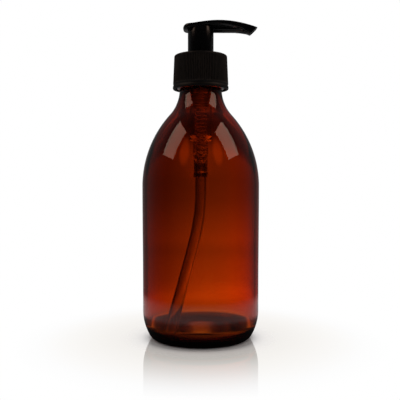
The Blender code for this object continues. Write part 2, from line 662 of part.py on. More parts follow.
# ------------------------------------------------------------------- plunger
def make_stem(group, material):
    """Hollow stem from the head's socket to the shoulder above the piston."""
    profile = [
        (STEM_RADIUS, STEM_TOP),
        (STEM_RADIUS, STEM_SHOULDER + STEM_SHOULDER_HEIGHT * 1.6),
        (STEM_SHOULDER_RADIUS, STEM_SHOULDER + STEM_SHOULDER_HEIGHT),
        (STEM_SHOULDER_RADIUS, STEM_SHOULDER),
        (STEM_BORE, STEM_SHOULDER),
        (STEM_BORE, STEM_TOP),
    ]
    return turned("stem", profile, STEM_SEGMENTS, group, material)


def make_piston_rod(group, cutters, material):
    """Rod plugged into the stem, with a cross port and a foot for the spring."""
    foot_bottom = PISTON_FOOT - ROD_FOOT_HEIGHT
    plug = STEM_BORE - PRESS_GAP
    top = STEM_SHOULDER + ROD_PLUG_LENGTH
    neck = STEM_SHOULDER - GAP
    bore = plug * 0.5
    profile = [
        (0.0, PISTON_FOOT),
        (bore, PISTON_FOOT),
        (bore, top),
        (plug, top),
        (plug, neck),
        (ROD_RADIUS, neck),
        (ROD_RADIUS, PISTON_FOOT),
        (ROD_FOOT_RADIUS, PISTON_FOOT),
        (ROD_FOOT_RADIUS, foot_bottom),
        (0.0, foot_bottom),
    ]
    rod = turned("piston_rod", profile, STEM_SEGMENTS, group, material, closed=False)
    size = (ROD_RADIUS * 3, ROD_PORT_WIDTH, ROD_PORT_HEIGHT)
    place = Matrix.Translation((0.0, 0.0, PISTON_FOOT + ROD_PORT_HEIGHT / 2 + ROD_FOOT_HEIGHT * 0.4))
    boolean(rod, box("rod_port", size, place, cutters))
    return rod


def make_piston(group, material):
    """Soft seal with a lip at each end and a waist between them."""
    outer = CYLINDER_INNER - RUNNING_GAP
    waist = outer - PISTON_WAIST_DEPTH
    top = PISTON_BOTTOM + PISTON_HEIGHT
    middle = PISTON_BOTTOM + PISTON_HEIGHT / 2
    hub = PISTON_BORE + PISTON_WAIST_DEPTH
    lip_inner = outer - PISTON_LIP * 0.4
    profile = [
        (outer, top),
        (outer, top - PISTON_LIP),
        (waist, middle + PISTON_LIP * 0.4),
        (waist, middle - PISTON_LIP * 0.4),
        (outer, PISTON_BOTTOM + PISTON_LIP),
        (outer, PISTON_BOTTOM),
        (lip_inner, PISTON_BOTTOM),
        (hub, PISTON_BOTTOM + PISTON_LIP),
        (hub, PISTON_BOTTOM),
        (PISTON_BORE, PISTON_BOTTOM),
        (PISTON_BORE, top),
        (hub, top),
        (hub, top - PISTON_LIP),
        (lip_inner, top),
    ]
    return turned("piston", profile, PUMP_SEGMENTS, group, material)


# ------------------------------------------------------------------ dip tube
def tube_route(steps):
    """Centre line: straight out of the socket, bent once, then straight."""
    seat_top, _center = ball_seat()
    port_bottom = seat_top - (BALL_CHAMBER_RADIUS - BALL_PORT_RADIUS) - HOUSING_WALL
    top = port_bottom - GAP
    bend_top = port_bottom - SOCKET_LENGTH - TUBE_STRAIGHT
    bend_bottom = bend_top - TUBE_BEND_LENGTH
    foot = FLOOR_THICKNESS + TUBE_FLOOR_GAP + TUBE_RADIUS / 2
    reach = INSIDE_RADIUS - TUBE_RADIUS - TUBE_SIDE_GAP
    slope = reach / (TUBE_BEND_LENGTH / 2 + bend_bottom - foot)
    side = Vector((math.cos(TUBE_HEADING), math.sin(TUBE_HEADING), 0.0))

    def offset(z):
        bend = min(max((bend_top - z) / TUBE_BEND_LENGTH, 0.0), 1.0)
        eased = bend ** 3 * (1 - bend / 2)
        return slope * (TUBE_BEND_LENGTH * eased + max(bend_bottom - z, 0.0))

    heights = [top, bend_top]
    heights += [bend_top - TUBE_BEND_LENGTH * (i + 1) / steps for i in range(steps)]
    heights += [(bend_bottom + foot) / 2, foot]
    return [Vector((0.0, 0.0, z)) + side * offset(z) for z in heights]


def make_dip_tube(group, cutters, material):
    """Bent tube from the housing's socket to the corner of the floor."""
    route = tube_route(10)
    outer = mesh_from_curve(curve_object("dip_tube_outer", route, TUBE_RADIUS, group, 4), group, material)
    outer.name = "dip_tube"
    first = route[0] + (route[0] - route[1]).normalized() * OVERSHOOT
    last = route[-1] + (route[-1] - route[-2]).normalized() * OVERSHOOT
    bore_route = [first] + route[1:-1] + [last]
    bore = mesh_from_curve(curve_object("tube_bore", bore_route, TUBE_BORE, cutters, 3), cutters)
    boolean(outer, bore)
    return outer


# ---------------------------------------------------------------------- head
def plate_top(x):
    """Height of the thumb plate's middle line: two arcs that meet at the crest, turned up at the rear."""
    run = x - CREST_X
    radius = FRONT_ARC if run > 0 else REAR_ARC
    lift = LOBE_LIFT * (1 - ease((x + REAR_OVERHANG) / LOBE_LIFT_LENGTH))
    return HEAD_UNDERSIDE + CREST_HEIGHT - radius + math.sqrt(radius ** 2 - run ** 2) + lift


def plate_thickness(x):
    """Thickest at the rear lobe, thin over the skirt, thicker along the spout."""
    lobe = LOBE_EXTRA * (1 - ease((x + REAR_OVERHANG - LOBE_ROUND) / LOBE_LENGTH))
    spout = SPOUT_EXTRA * ease((x - TAPER_START) / (TAPER_END - TAPER_START))
    return PLATE_THICKNESS + lobe + spout


def round_end(run, length, exponent=2.0):
    """Share of the full size, at a distance from a rounded end."""
    left = max(length - run, 0.0) / length
    return max(1 - left ** exponent, 0.0) ** (1 / exponent)


def rounded_box(x, half_width, low, high, exponent, points):
    """A section across the spout: a box with rounded corners."""
    middle = (low + high) / 2
    section = []
    for i in range(points):
        angle = math.tau * (i + 0.5) / points
        c = math.cos(angle)
        s = math.sin(angle)
        y = half_width * math.copysign(abs(c) ** (2 / exponent), c)
        z = (high - low) / 2 * math.copysign(abs(s) ** (2 / exponent), s)
        section.append((x, y, middle + z))
    return section


def plate_sections():
    """Sections of the thumb plate, from the rear lobe to past the tip."""
    rear = -REAR_OVERHANG
    runs = [0.02, 0.12, 0.35, 0.7]
    places = [rear + PLATE_CORNER * run for run in runs]
    front = SPOUT_REACH + OVERSHOOT
    places += [rear + PLATE_CORNER + (front - rear - PLATE_CORNER) * i / 11 for i in range(12)]
    sections = []
    for x in places:
        half = PLATE_HALF_WIDTH * round_end(x - rear, PLATE_CORNER, PLATE_SQUARENESS)
        half += (SPOUT_HALF_WIDTH - PLATE_HALF_WIDTH) * ease((x - TAPER_START) / (TAPER_END - TAPER_START))
        top = plate_top(x)
        low = top - plate_thickness(x)
        spare = (top - low) / 2 * (1 - round_end(x - rear, LOBE_ROUND))
        sections.append(rounded_box(x, half, low + spare, top - spare, 3.4, 20))
    return sections


def belly_sections():
    """Sections of the rounded spout under the plate."""
    start = SKIRT_RADIUS * 0.5
    front = SPOUT_REACH + OVERSHOOT
    sections = []
    for i in range(8):
        x = start + (front - start) * i / 7
        low = HEAD_UNDERSIDE - BELLY_DROP * ease((x - BELLY_FALL_START) / (front - BELLY_FALL_START))
        high = plate_top(x) - PLATE_THICKNESS * 0.4
        sections.append(rounded_box(x, BELLY_HALF_WIDTH, low, high, 2.6, 16))
    return sections


def loft(name, sections, group, material=None):
    """Skin a row of closed sections that have the same number of points."""
    work = bmesh.new()
    rows = [[work.verts.new(point) for point in section] for section in sections]
    size = len(rows[0])
    for low, high in zip(rows, rows[1:]):
        for i in range(size):
            j = (i + 1) % size
            work.faces.new((low[i], low[j], high[j], high[i]))
    work.faces.new(rows[0])
    work.faces.new(rows[-1])
    bmesh.ops.recalc_face_normals(work, faces=work.faces)
    mesh = bpy.data.meshes.new(name)
    work.to_mesh(mesh)
    work.free()
    return add_object(name, mesh, group, material)


def tip_frame():
    """Middle of the tip's oblique face, and the angle of that face."""
    top = Vector((SPOUT_REACH, 0.0, plate_top(SPOUT_REACH)))
    low = top - Vector((SPOUT_CUT_RUN, 0.0, SPOUT_CUT_DROP))
    return (top + low) / 2, math.atan2(SPOUT_CUT_RUN, SPOUT_CUT_DROP)


def make_tip_cutter(cutters):
    """A block whose near face is the spout's oblique end."""
    middle, tilt = tip_frame()
    side = SPOUT_REACH / 2
    place = (Matrix.Translation(middle) @ Matrix.Rotation(tilt, 4, "Y")
             @ Matrix.Translation((side / 2, 0.0, 0.0)))
    return box("tip_cut", (side, side, side), place, cutters)


def make_channel(cutters):
    """The liquid's way from the stem's socket to the tip."""
    middle, _tilt = tip_frame()
    height = HEAD_UNDERSIDE + CHANNEL_HEIGHT
    start = -CHANNEL_RADIUS
    end = middle.x + OVERSHOOT * 2
    route = []
    for i in range(9):
        x = start + (end - start) * i / 8
        fall = (height - middle.z) * ease((x - CREST_X) / (end - CREST_X))
        route.append((x, 0.0, height - fall))
    return mesh_from_curve(curve_object("channel", route, CHANNEL_RADIUS, cutters, 3), cutters)


def make_mouth(cutters):
    """The oval widening of the channel at the tip."""
    middle, tilt = tip_frame()
    work = bmesh.new()
    bmesh.ops.create_cone(work, cap_ends=True, segments=16, radius1=0.8, radius2=1.0, depth=1.0)
    place = (Matrix.Translation(middle) @ Matrix.Rotation(math.radians(90) + tilt * 0.5, 4, "Y")
             @ Matrix.Diagonal((MOUTH_HEIGHT, MOUTH_WIDTH, MOUTH_DEPTH, 1.0)))
    bmesh.ops.transform(work, matrix=place, verts=work.verts)
    mesh = bpy.data.meshes.new("mouth")
    work.to_mesh(mesh)
    work.free()
    return add_object("mouth", mesh, cutters)


def make_head(group, cutters, material):
    """Actuator: thumb plate and spout, skirt, stem boss, fins and channel."""
    head = loft("head", plate_sections(), group, material)
    boolean(head, loft("belly", belly_sections(), cutters), "UNION")
    boolean(head, make_tip_cutter(cutters))

    root = HEAD_UNDERSIDE + PLATE_THICKNESS
    inside = SKIRT_RADIUS - SKIRT_WALL
    socket_radius = STEM_RADIUS + PRESS_GAP
    skirt = [
        (0.0, root),
        (SKIRT_RADIUS, root),
        (SKIRT_RADIUS, SKIRT_BOTTOM),
        (inside, SKIRT_BOTTOM),
        (inside, HEAD_CEILING),
        (BOSS_RADIUS, HEAD_CEILING),
        (BOSS_RADIUS, BOSS_BOTTOM),
        (socket_radius, BOSS_BOTTOM),
        (socket_radius, SOCKET_TOP),
        (0.0, SOCKET_TOP),
    ]
    boolean(head, turned("skirt", skirt, PUMP_SEGMENTS, cutters, closed=False), "UNION")
    boolean(head, make_channel(cutters))
    boolean(head, make_mouth(cutters))

    sunk = SKIRT_WALL / 2
    fin_inner = GUIDE_OUTER + PRESS_GAP
    fin_outer = inside + sunk
    fin_length = fin_outer - fin_inner
    fin_height = HEAD_CEILING + sunk - FIN_BOTTOM
    for i, side in enumerate((-1, 1)):
        place = Matrix.Translation((side * (fin_outer + fin_inner) / 2, 0.0, FIN_BOTTOM + fin_height / 2))
        fin = box("fin_%d" % (i + 1), (fin_length, FIN_THICKNESS, fin_height), place, cutters)
        boolean(head, fin, "UNION")
    return head


def build():
    """Make every piece of the dispenser."""
    clear_scene()
    group = make_collection("soap_pump_dispenser")
    cutters = make_collection("cutters")
    glass = make_material("amber_glass", (0.30, 0.06, 0.008), 0.03, transmission=1.0, alpha=0.5)
    matte = make_material("matte_black", (0.012, 0.012, 0.013), 0.55)
    gloss = make_material("gloss_black", (0.008, 0.008, 0.009), 0.14)
    natural = make_material("natural_plastic", (0.75, 0.73, 0.68), 0.35)
    seal = make_material("soft_seal", (0.85, 0.85, 0.83), 0.5)
    steel = make_material("spring_steel", (0.55, 0.54, 0.52), 0.25, metallic=1.0)
    polished = make_material("ball_steel", (0.62, 0.62, 0.63), 0.1, metallic=1.0)
    make_bottle(group, cutters, glass)
    make_collar(group, cutters, matte)
    make_lock_ring(group, cutters, gloss)
    make_gasket(group, seal)
    make_housing(group, natural)
    make_dip_tube(group, cutters, natural)
    make_ball(group, polished)
    make_spring(group, steel)
    make_piston_rod(group, cutters, natural)
    make_stem(group, natural)
    make_piston(group, seal)
    make_head(group, cutters, gloss)


build()
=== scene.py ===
"""Soap pump dispenser: the visible pieces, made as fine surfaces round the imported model.

Every length is in metres and +Z is up. The bottle stands on Z = 0 on its own
axis, and the spout points along +X. Each piece is a grid of points worked out
from a profile or from sections, and rides on the body that it belongs to.
"""
import math

import bpy
import numpy as np
from bpy.props import FloatProperty, FloatVectorProperty, IntProperty, PointerProperty
from mathutils import Matrix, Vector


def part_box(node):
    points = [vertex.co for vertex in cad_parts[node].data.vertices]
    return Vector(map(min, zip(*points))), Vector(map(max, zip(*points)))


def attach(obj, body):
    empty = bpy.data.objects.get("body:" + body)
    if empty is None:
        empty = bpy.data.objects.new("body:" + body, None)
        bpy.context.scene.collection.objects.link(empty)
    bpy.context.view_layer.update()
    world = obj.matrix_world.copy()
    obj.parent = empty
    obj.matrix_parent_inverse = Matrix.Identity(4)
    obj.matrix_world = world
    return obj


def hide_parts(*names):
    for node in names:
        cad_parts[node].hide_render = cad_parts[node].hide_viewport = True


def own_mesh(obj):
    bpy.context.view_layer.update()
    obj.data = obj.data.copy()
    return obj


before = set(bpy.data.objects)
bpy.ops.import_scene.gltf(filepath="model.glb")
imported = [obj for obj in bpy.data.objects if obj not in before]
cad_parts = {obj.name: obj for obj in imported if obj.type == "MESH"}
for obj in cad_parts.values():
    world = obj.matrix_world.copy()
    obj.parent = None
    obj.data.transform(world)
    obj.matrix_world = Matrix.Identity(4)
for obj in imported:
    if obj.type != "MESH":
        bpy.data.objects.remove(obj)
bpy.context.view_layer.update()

bl_info = {
    "name": "Soap Pump Dispenser",
    "version": (1, 0, 0),
    "blender": (4, 5, 0),
    "location": "3D View > Sidebar > Dispenser",
    "description": "Builds an amber glass soap dispenser with a lotion pump",
    "category": "Add Mesh",
}

MM = 0.001
GAP = 0.3 * MM
RUNNING_GAP = 0.25 * MM
PRESS_GAP = 0.15 * MM

# ------------------------------------------------------- places from the frame
BOTTLE_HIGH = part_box("bottle")[1]
COLLAR_LOW, COLLAR_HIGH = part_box("collar")
RING_LOW, RING_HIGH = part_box("lock_ring")
HEAD_LOW, HEAD_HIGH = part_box("head")
HOUSING_LOW, HOUSING_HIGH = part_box("housing")
SPRING_LOW, SPRING_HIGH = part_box("spring")
BALL_LOW, BALL_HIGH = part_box("inlet_ball")
TUBE_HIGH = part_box("dip_tube")[1]
STEM_LOW, STEM_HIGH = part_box("stem")
PISTON_LOW, PISTON_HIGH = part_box("piston")
GASKET_LOW, GASKET_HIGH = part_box("gasket")

BODY_RADIUS = BOTTLE_HIGH.x
LIP_Z = BOTTLE_HIGH.z
FLANGE_TOP = HOUSING_HIGH.z
DECK_TOP = COLLAR_HIGH.z
RIM_TOP = RING_HIGH.z
SKIRT_BOTTOM = HEAD_LOW.z
STROKE = 11.0 * MM


# ------------------------------------------------------------------- settings
class BottleSettings(bpy.types.PropertyGroup):
    """Sizes and colours of the glass."""
    wall: FloatProperty(
        name="Wall", description="Thickness of the glass", default=2.4 * MM, unit="LENGTH")
    shoulder_start: FloatProperty(
        name="Shoulder start", description="Height where the shoulder begins",
        default=85.8 * MM, unit="LENGTH")
    shoulder_radius: FloatProperty(
        name="Shoulder radius", description="Radius of the shoulder's arc",
        default=60.2 * MM, unit="LENGTH")
    neck_fillet: FloatProperty(
        name="Neck fillet", description="Radius of the arc into the neck",
        default=22.0 * MM, unit="LENGTH")
    finish_radius: FloatProperty(
        name="Finish radius", description="Root of the screw thread", default=12.5 * MM, unit="LENGTH")
    tint: FloatVectorProperty(
        name="Glass tint", description="Colour that the glass lets through", subtype="COLOR",
        size=3, min=0.0, max=1.0, default=(0.922, 0.57, 0.02))
    density: FloatProperty(
        name="Tint density", description="How strongly the glass absorbs light, per metre",
        default=1500.0)


class CollarSettings(bpy.types.PropertyGroup):
    """Sizes and colour of the screw collar."""
    ribs: IntProperty(name="Ribs", description="Number of grip ribs", default=100, min=12)
    groove_depth: FloatProperty(
        name="Groove depth", description="Depth of the grooves between ribs",
        default=0.3 * MM, unit="LENGTH")
    color: FloatVectorProperty(
        name="Collar colour", description="Satin black moulding", subtype="COLOR",
        size=3, min=0.0, max=1.0, default=(0.0008, 0.0008, 0.0009))


class PumpSettings(bpy.types.PropertyGroup):
    """Sizes and colours of the pump's inner mouldings."""
    wire_radius: FloatProperty(
        name="Wire radius", description="Radius of the spring's wire", default=0.4 * MM, unit="LENGTH")
    coil_radius: FloatProperty(
        name="Coil radius", description="Radius of the spring's centre line",
        default=3.15 * MM, unit="LENGTH")
    turns: IntProperty(name="Turns", description="Turns of the spring", default=12, min=3)
    tube_radius: FloatProperty(
        name="Tube radius", description="Outer radius of the dip tube", default=3.25 * MM, unit="LENGTH")
    tube_wall: FloatProperty(
        name="Tube wall", description="Wall of the dip tube", default=0.8 * MM, unit="LENGTH")
    natural: FloatVectorProperty(
        name="Natural plastic", description="Milky moulding colour", subtype="COLOR",
        size=3, min=0.0, max=1.0, default=(0.84, 0.82, 0.78))


class HeadSettings(bpy.types.PropertyGroup):
    """Sizes and colour of the pump head."""
    crest_x: FloatProperty(
        name="Crest place", description="Where the spout is highest", default=13.5 * MM, unit="LENGTH")
    rear_arc: FloatProperty(
        name="Rear arc", description="Radius of the top line behind the crest",
        default=95 * MM, unit="LENGTH")
    front_arc: FloatProperty(
        name="Front arc", description="Radius of the top line ahead of the crest",
        default=52 * MM, unit="LENGTH")
    plate_thickness: FloatProperty(
        name="Plate thickness", description="Thickness over the skirt", default=3.1 * MM, unit="LENGTH")
    color: FloatVectorProperty(
        name="Head colour", description="Polished black moulding", subtype="COLOR",
        size=3, min=0.0, max=1.0, default=(0.0006, 0.0006, 0.0007))


class StageSettings(bpy.types.PropertyGroup):
    """Light, floor and camera."""
    shadow_reach: FloatProperty(
        name="Shadow reach", description="Radius where the shadow ends", default=46 * MM, unit="LENGTH")
    world_strength: FloatProperty(
        name="Sky strength", description="Light of the white surround", default=1.1)
    distance: FloatProperty(
        name="Camera distance", description="From the camera to the bottle's axis",
        default=348.3 * MM, unit="LENGTH")
    height: FloatProperty(
        name="Camera height", description="Height of the camera", default=85.8 * MM, unit="LENGTH")
    lens: FloatProperty(name="Lens", description="Focal length in millimetres", default=55.16)


SETTINGS = {
    "dispenser_bottle": BottleSettings,
    "dispenser_collar": CollarSettings,
    "dispenser_pump": PumpSettings,
    "dispenser_head": HeadSettings,
    "dispenser_stage": StageSettings,
}


# ------------------------------------------------------------- profile helpers
def arc(center, radius, start, end, count):
    """Points of an arc in the (radius, z) plane, angles in degrees from +radius towards +z."""
    angle = np.radians(np.linspace(start, end, count + 1))
    return np.stack([center[0] + radius * np.cos(angle), center[1] + radius * np.sin(angle)], axis=1)


def line(start, end, count):
    """Evenly spaced points from start to end."""
    share = np.linspace(0.0, 1.0, count + 1)[:, None]
    return np.array(start) + (np.array(end) - np.array(start)) * share


def chain(*stretches):
    """Stretches of profile joined into one array, without repeated points."""
    points = np.concatenate([np.atleast_2d(np.array(s, float)) for s in stretches])
    step = np.linalg.norm(np.diff(points, axis=0), axis=1)
    return points[np.concatenate([[True], step > 0.002 * MM])]


def rounded(corners, radius, count=3, closed=True):
    """A polygon of (radius, z) corners whose every corner is rounded.

    Each corner is replaced by a quadratic curve between two points that lie
    the given distance along its sides, or two fifths of a shorter side.
    """
    corners = np.array(corners, float)
    rows = []
    size = len(corners)
    for i in range(size):
        if not closed and i in (0, size - 1):
            rows.append(corners[i:i + 1])
            continue
        here = corners[i]
        back = corners[i - 1] - here
        ahead = corners[(i + 1) % size] - here
        back_length = np.linalg.norm(back)
        ahead_length = np.linalg.norm(ahead)
        start = here + back / back_length * min(radius, 0.4 * back_length)
        end = here + ahead / ahead_length * min(radius, 0.4 * ahead_length)
        t = np.linspace(0.0, 1.0, count + 1)[:, None]
        rows.append((1 - t) ** 2 * start + 2 * t * (1 - t) * here + t ** 2 * end)
    return np.concatenate(rows)


def ease(t):
    """Smooth step from 0 to 1."""
    t = np.clip(t, 0.0, 1.0)
    return t * t * (3 - 2 * t)


# ---------------------------------------------------------------- mesh helpers
def grid_faces(rows, columns, closed_rows):
    """Corner numbers of the quads of a grid whose columns close on themselves."""
    i = np.arange(rows if closed_rows else rows - 1)[:, None]
    j = np.arange(columns)[None, :]
    ahead = (i + 1) % rows
    side = (j + 1) % columns
    here, next_row = i * columns, ahead * columns
    corners = np.broadcast_arrays(here + j, here + side, next_row + side, next_row + j)
    return np.stack(corners, axis=-1).reshape(-1, 4)


def pole_faces(pole, first, columns):
    """Corner numbers of the triangles between a pole and the row that starts at first."""
    j = np.arange(columns)
    side = (j + 1) % columns
    return np.stack([np.full(columns, pole), first + side, first + j], axis=1)


def signed_volume(points, faces):
    """Sum over the triangles of a third of their corners' triple product, halved."""
    a, b, c = (points[faces[:, k]] for k in range(3))
    return float(np.einsum("ij,ij->i", a, np.cross(b, c)).sum() / 6)


def mesh_object(name, grid, closed_rows=False, poles=(None, None), sharp=50.0):
    """A closed mesh from a grid of points, and a pole at either end where one is given.

    The grid has a row for each step along the piece and a column for each step
    round it. Faces are turned outwards if the volume that they enclose comes
    out negative.
    """
    rows, columns = grid.shape[:2]
    points = grid.reshape(-1, 3)
    quads = grid_faces(rows, columns, closed_rows)
    fans = []
    for pole, first, turned in ((poles[0], 0, False), (poles[1], (rows - 1) * columns, True)):
        if pole is None:
            continue
        points = np.concatenate([points, [pole]])
        fan = pole_faces(len(points) - 1, first, columns)
        fans.append(fan[:, ::-1] if turned else fan)
    triangles = np.concatenate(fans) if fans else np.zeros((0, 3), int)
    halves = [quads[:, [0, 1, 2]], quads[:, [0, 2, 3]], triangles]
    if signed_volume(points, np.concatenate(halves)) < 0:
        quads = quads[:, ::-1]
        triangles = triangles[:, ::-1]
    mesh = bpy.data.meshes.new(name)
    mesh.vertices.add(len(points))
    mesh.vertices.foreach_set("co", points.astype(np.float32).ravel())
    mesh.loops.add(quads.size + triangles.size)
    corners = np.concatenate([quads.ravel(), triangles.ravel()])
    mesh.loops.foreach_set("vertex_index", corners.astype(np.int32))
    starts = np.concatenate([np.arange(len(quads)) * 4, quads.size + np.arange(len(triangles)) * 3])
    mesh.polygons.add(len(starts))
    mesh.polygons.foreach_set("loop_start", starts.astype(np.int32))
    mesh.polygons.foreach_set("use_smooth", np.ones(len(starts), bool))
    mesh.update(calc_edges=True)
    if mesh.validate(verbose=False):
        raise RuntimeError("the mesh of " + name + " had faults")
    mesh.set_sharp_from_angle(angle=math.radians(sharp))
    obj = bpy.data.objects.new(name, mesh)
    bpy.context.scene.collection.objects.link(obj)
    return obj


def revolve(profile, segments, stand=None):
    """Grid of a profile of (radius, z) turned round the Z axis.

    stand, where given, takes the angle and the height as arrays and returns
    what is added to the radius there.
    """
    angle = np.arange(segments) * math.tau / segments
    radius = profile[:, 0:1] + np.zeros(segments)
    z = profile[:, 1:2] + np.zeros(segments)
    if stand is not None:
        radius = radius + stand(angle[None, :], z)
    return np.stack([radius * np.cos(angle), radius * np.sin(angle), z], axis=-1)


def tube_grid(path, radius, sides, up):
    """Grid of circles of one radius, square to a path, started from an up direction."""
    step = np.gradient(path, axis=0)
    along = step / np.linalg.norm(step, axis=1)[:, None]
    across = np.cross(along, up)
    across /= np.linalg.norm(across, axis=1)[:, None]
    third = np.cross(along, across)
    angle = np.arange(sides) * math.tau / sides
    cosine, sine = np.cos(angle)[None, :, None], np.sin(angle)[None, :, None]
    circle = across[:, None, :] * cosine + third[:, None, :] * sine
    return path[:, None, :] + radius * circle


def finish_piece(obj, body, material, slot, *nodes):
    """Give a piece its material and its body, and hide the imported nodes that it stands for. The slot is not
    used.
    """
    obj.data.materials.append(material)
    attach(obj, body)
    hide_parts(*nodes)
    return obj


# -------------------------------------------------------------------- materials
def new_material(name):
    """An empty node material with its output and its Principled shader."""
    material = bpy.data.materials.new(name)
    material.use_nodes = True
    tree = material.node_tree
    shader = tree.nodes["Principled BSDF"]
    return material, tree, shader


def noise(tree, scale, detail=4.0, roughness=0.55, stretch=(1.0, 1.0, 1.0)):
    """Noise on object coordinates, stretched along the axes."""
    place = tree.nodes.new("ShaderNodeTexCoord")
    mapping = tree.nodes.new("ShaderNodeMapping")
    mapping.inputs["Scale"].default_value = stretch
    texture = tree.nodes.new("ShaderNodeTexNoise")
    texture.inputs["Scale"].default_value = scale
    texture.inputs["Detail"].default_value = detail
    texture.inputs["Roughness"].default_value = roughness
    tree.links.new(place.outputs["Object"], mapping.inputs["Vector"])
    tree.links.new(mapping.outputs["Vector"], texture.inputs["Vector"])
    return texture.outputs["Fac"]


def ramp(tree, source, low, high, start=0.0, end=1.0):
    """Map a value from start..end to low..high, clamped."""
    node = tree.nodes.new("ShaderNodeMapRange")
    node.inputs["From Min"].default_value = start
    node.inputs["From Max"].default_value = end
    node.inputs["To Min"].default_value = low
    node.inputs["To Max"].default_value = high
    tree.links.new(source, node.inputs["Value"])
    return node.outputs["Result"]


def add_bump(tree, shader, height, distance, strength=1.0):
    """Bump of a height value on a shader's normal."""
    node = tree.nodes.new("ShaderNodeBump")
    node.inputs["Distance"].default_value = distance
    node.inputs["Strength"].default_value = strength
    tree.links.new(height, node.inputs["Height"])
    tree.links.new(node.outputs["Normal"], shader.inputs["Normal"])


def tone(tree, source, dark, light):
    """A colour between two colours, by a value from 0 to 1."""
    node = tree.nodes.new("ShaderNodeValToRGB")
    node.color_ramp.elements[0].color = (*dark, 1.0)
    node.color_ramp.elements[1].color = (*light, 1.0)
    node.color_ramp.elements[0].position = 0.3
    node.color_ramp.elements[1].position = 0.7
    tree.links.new(source, node.inputs["Fac"])
    return node.outputs["Color"]


def scaled(color, factor):
    """A colour times a factor."""
    return tuple(min(1.0, c * factor) for c in color)


def amber_glass(settings):
    """Moulded amber glass: clear surface, tinted through its thickness, faintly wavy."""
    material, tree, shader = new_material("amber_glass")
    shader.inputs["Base Color"].default_value = (1.0, 1.0, 1.0, 1.0)
    shader.inputs["Transmission Weight"].default_value = 1.0
    shader.inputs["IOR"].default_value = 1.52
    haze = ramp(tree, noise(tree, 900.0, 5.0), 0.015, 0.035, 0.35, 0.75)
    tree.links.new(haze, shader.inputs["Roughness"])
    add_bump(tree, shader, noise(tree, 38.0, 2.0, 0.4, (1.0, 1.0, 0.45)), 0.35 * MM, 0.35)
    absorb = tree.nodes.new("ShaderNodeVolumeAbsorption")
    absorb.inputs["Color"].default_value = (*settings.tint, 1.0)
    absorb.inputs["Density"].default_value = settings.density
    tree.links.new(absorb.outputs["Volume"], tree.nodes["Material Output"].inputs["Volume"])
    return material


def satin_black(settings):
    """Spark-eroded black moulding with a fine grain and a little dust in it."""
    material, tree, shader = new_material("satin_black")
    grain = noise(tree, 2600.0, 6.0, 0.7)
    patches = noise(tree, 140.0, 3.0)
    color = tone(tree, patches, settings.color, scaled(settings.color, 1.6))
    tree.links.new(color, shader.inputs["Base Color"])
    tree.links.new(ramp(tree, grain, 0.42, 0.62), shader.inputs["Roughness"])
    shader.inputs["IOR"].default_value = 1.49
    add_bump(tree, shader, grain, 0.02 * MM, 0.5)
    return material


def polished_black(settings):
    """Polished black moulding with faint flow marks and handling haze."""
    material, tree, shader = new_material("polished_black")
    flow = noise(tree, 60.0, 4.0, 0.5, (0.35, 1.0, 1.0))
    fine = noise(tree, 1800.0, 5.0, 0.6)
    color = tone(tree, flow, settings.color, scaled(settings.color, 1.7))
    tree.links.new(color, shader.inputs["Base Color"])
    tree.links.new(ramp(tree, flow, 0.10, 0.24, 0.3, 0.75), shader.inputs["Roughness"])
    shader.inputs["IOR"].default_value = 1.5
    add_bump(tree, shader, fine, 0.004 * MM, 0.4)
    return material


def natural_plastic(settings, name="natural_plastic"):
    """Milky polypropylene that lets light through, with slight cloudiness."""
    material, tree, shader = new_material(name)
    cloud = noise(tree, 90.0, 4.0)
    color = tone(tree, cloud, scaled(settings.natural, 0.9), settings.natural)
    tree.links.new(color, shader.inputs["Base Color"])
    tree.links.new(ramp(tree, cloud, 0.03, 0.09), shader.inputs["Roughness"])
    shader.inputs["Transmission Weight"].default_value = 0.98
    shader.inputs["IOR"].default_value = 1.49
    add_bump(tree, shader, noise(tree, 700.0, 4.0), 0.01 * MM, 0.4)
    return material


def soft_seal():
    """Soft white polyethylene, slightly waxy."""
    material, tree, shader = new_material("soft_seal")
    cloud = noise(tree, 160.0, 3.0)
    tree.links.new(tone(tree, cloud, (0.76, 0.76, 0.73), (0.86, 0.86, 0.84)), shader.inputs["Base Color"])
    tree.links.new(ramp(tree, cloud, 0.38, 0.52), shader.inputs["Roughness"])
    shader.inputs["Subsurface Weight"].default_value = 0.15
    shader.inputs["Subsurface Scale"].default_value = 1.0 * MM
    add_bump(tree, shader, noise(tree, 1200.0, 4.0), 0.008 * MM, 0.4)
    return material


def drawn_steel(name, low, high, bump):
    """Stainless steel with fine drawing marks."""
    material, tree, shader = new_material(name)
    marks = noise(tree, 1500.0, 5.0, 0.6, (1.0, 1.0, 0.3))
    tree.links.new(tone(tree, marks, (0.42, 0.41, 0.39), (0.60, 0.59, 0.57)), shader.inputs["Base Color"])
    shader.inputs["Metallic"].default_value = 1.0
    tree.links.new(ramp(tree, marks, low, high), shader.inputs["Roughness"])
    add_bump(tree, shader, marks, bump * MM, 0.4)
    return material


# ---------------------------------------------------------------------- bottle
NECK_INSET = 0.6 * MM
FINISH_WALL = 3.1 * MM
FINISH_HEIGHT = 14.2 * MM
LIP_ROUND = 0.7 * MM
BEAD_STAND = 1.1 * MM
BEAD_HEIGHT = 2.6 * MM
BEAD_ROUND = 0.7 * MM
THREAD_PITCH = 4.233 * MM
THREAD_TURNS = 1.5
THREAD_HEIGHT = 1.15 * MM
THREAD_HALF_WIDTH = 1.1 * MM
THREAD_FIRST = 5.3 * MM
PANEL_INSET = 0.28 * MM
PANEL_TOP = 28.0 * MM
HEEL_RADIUS = 27.3 * MM
HEEL_CORNER = 5.0 * MM
HEEL_HEIGHT = 16.0 * MM
BEARING_WIDTH = 1.6 * MM
PUSH_UP = 2.0 * MM
PUSH_UP_CORNER = 1.2 * MM
FLOOR_THICKNESS = 4.4 * MM
FLOOR_CROWN = 0.8 * MM
FLOOR_CORNER = 5.2 * MM
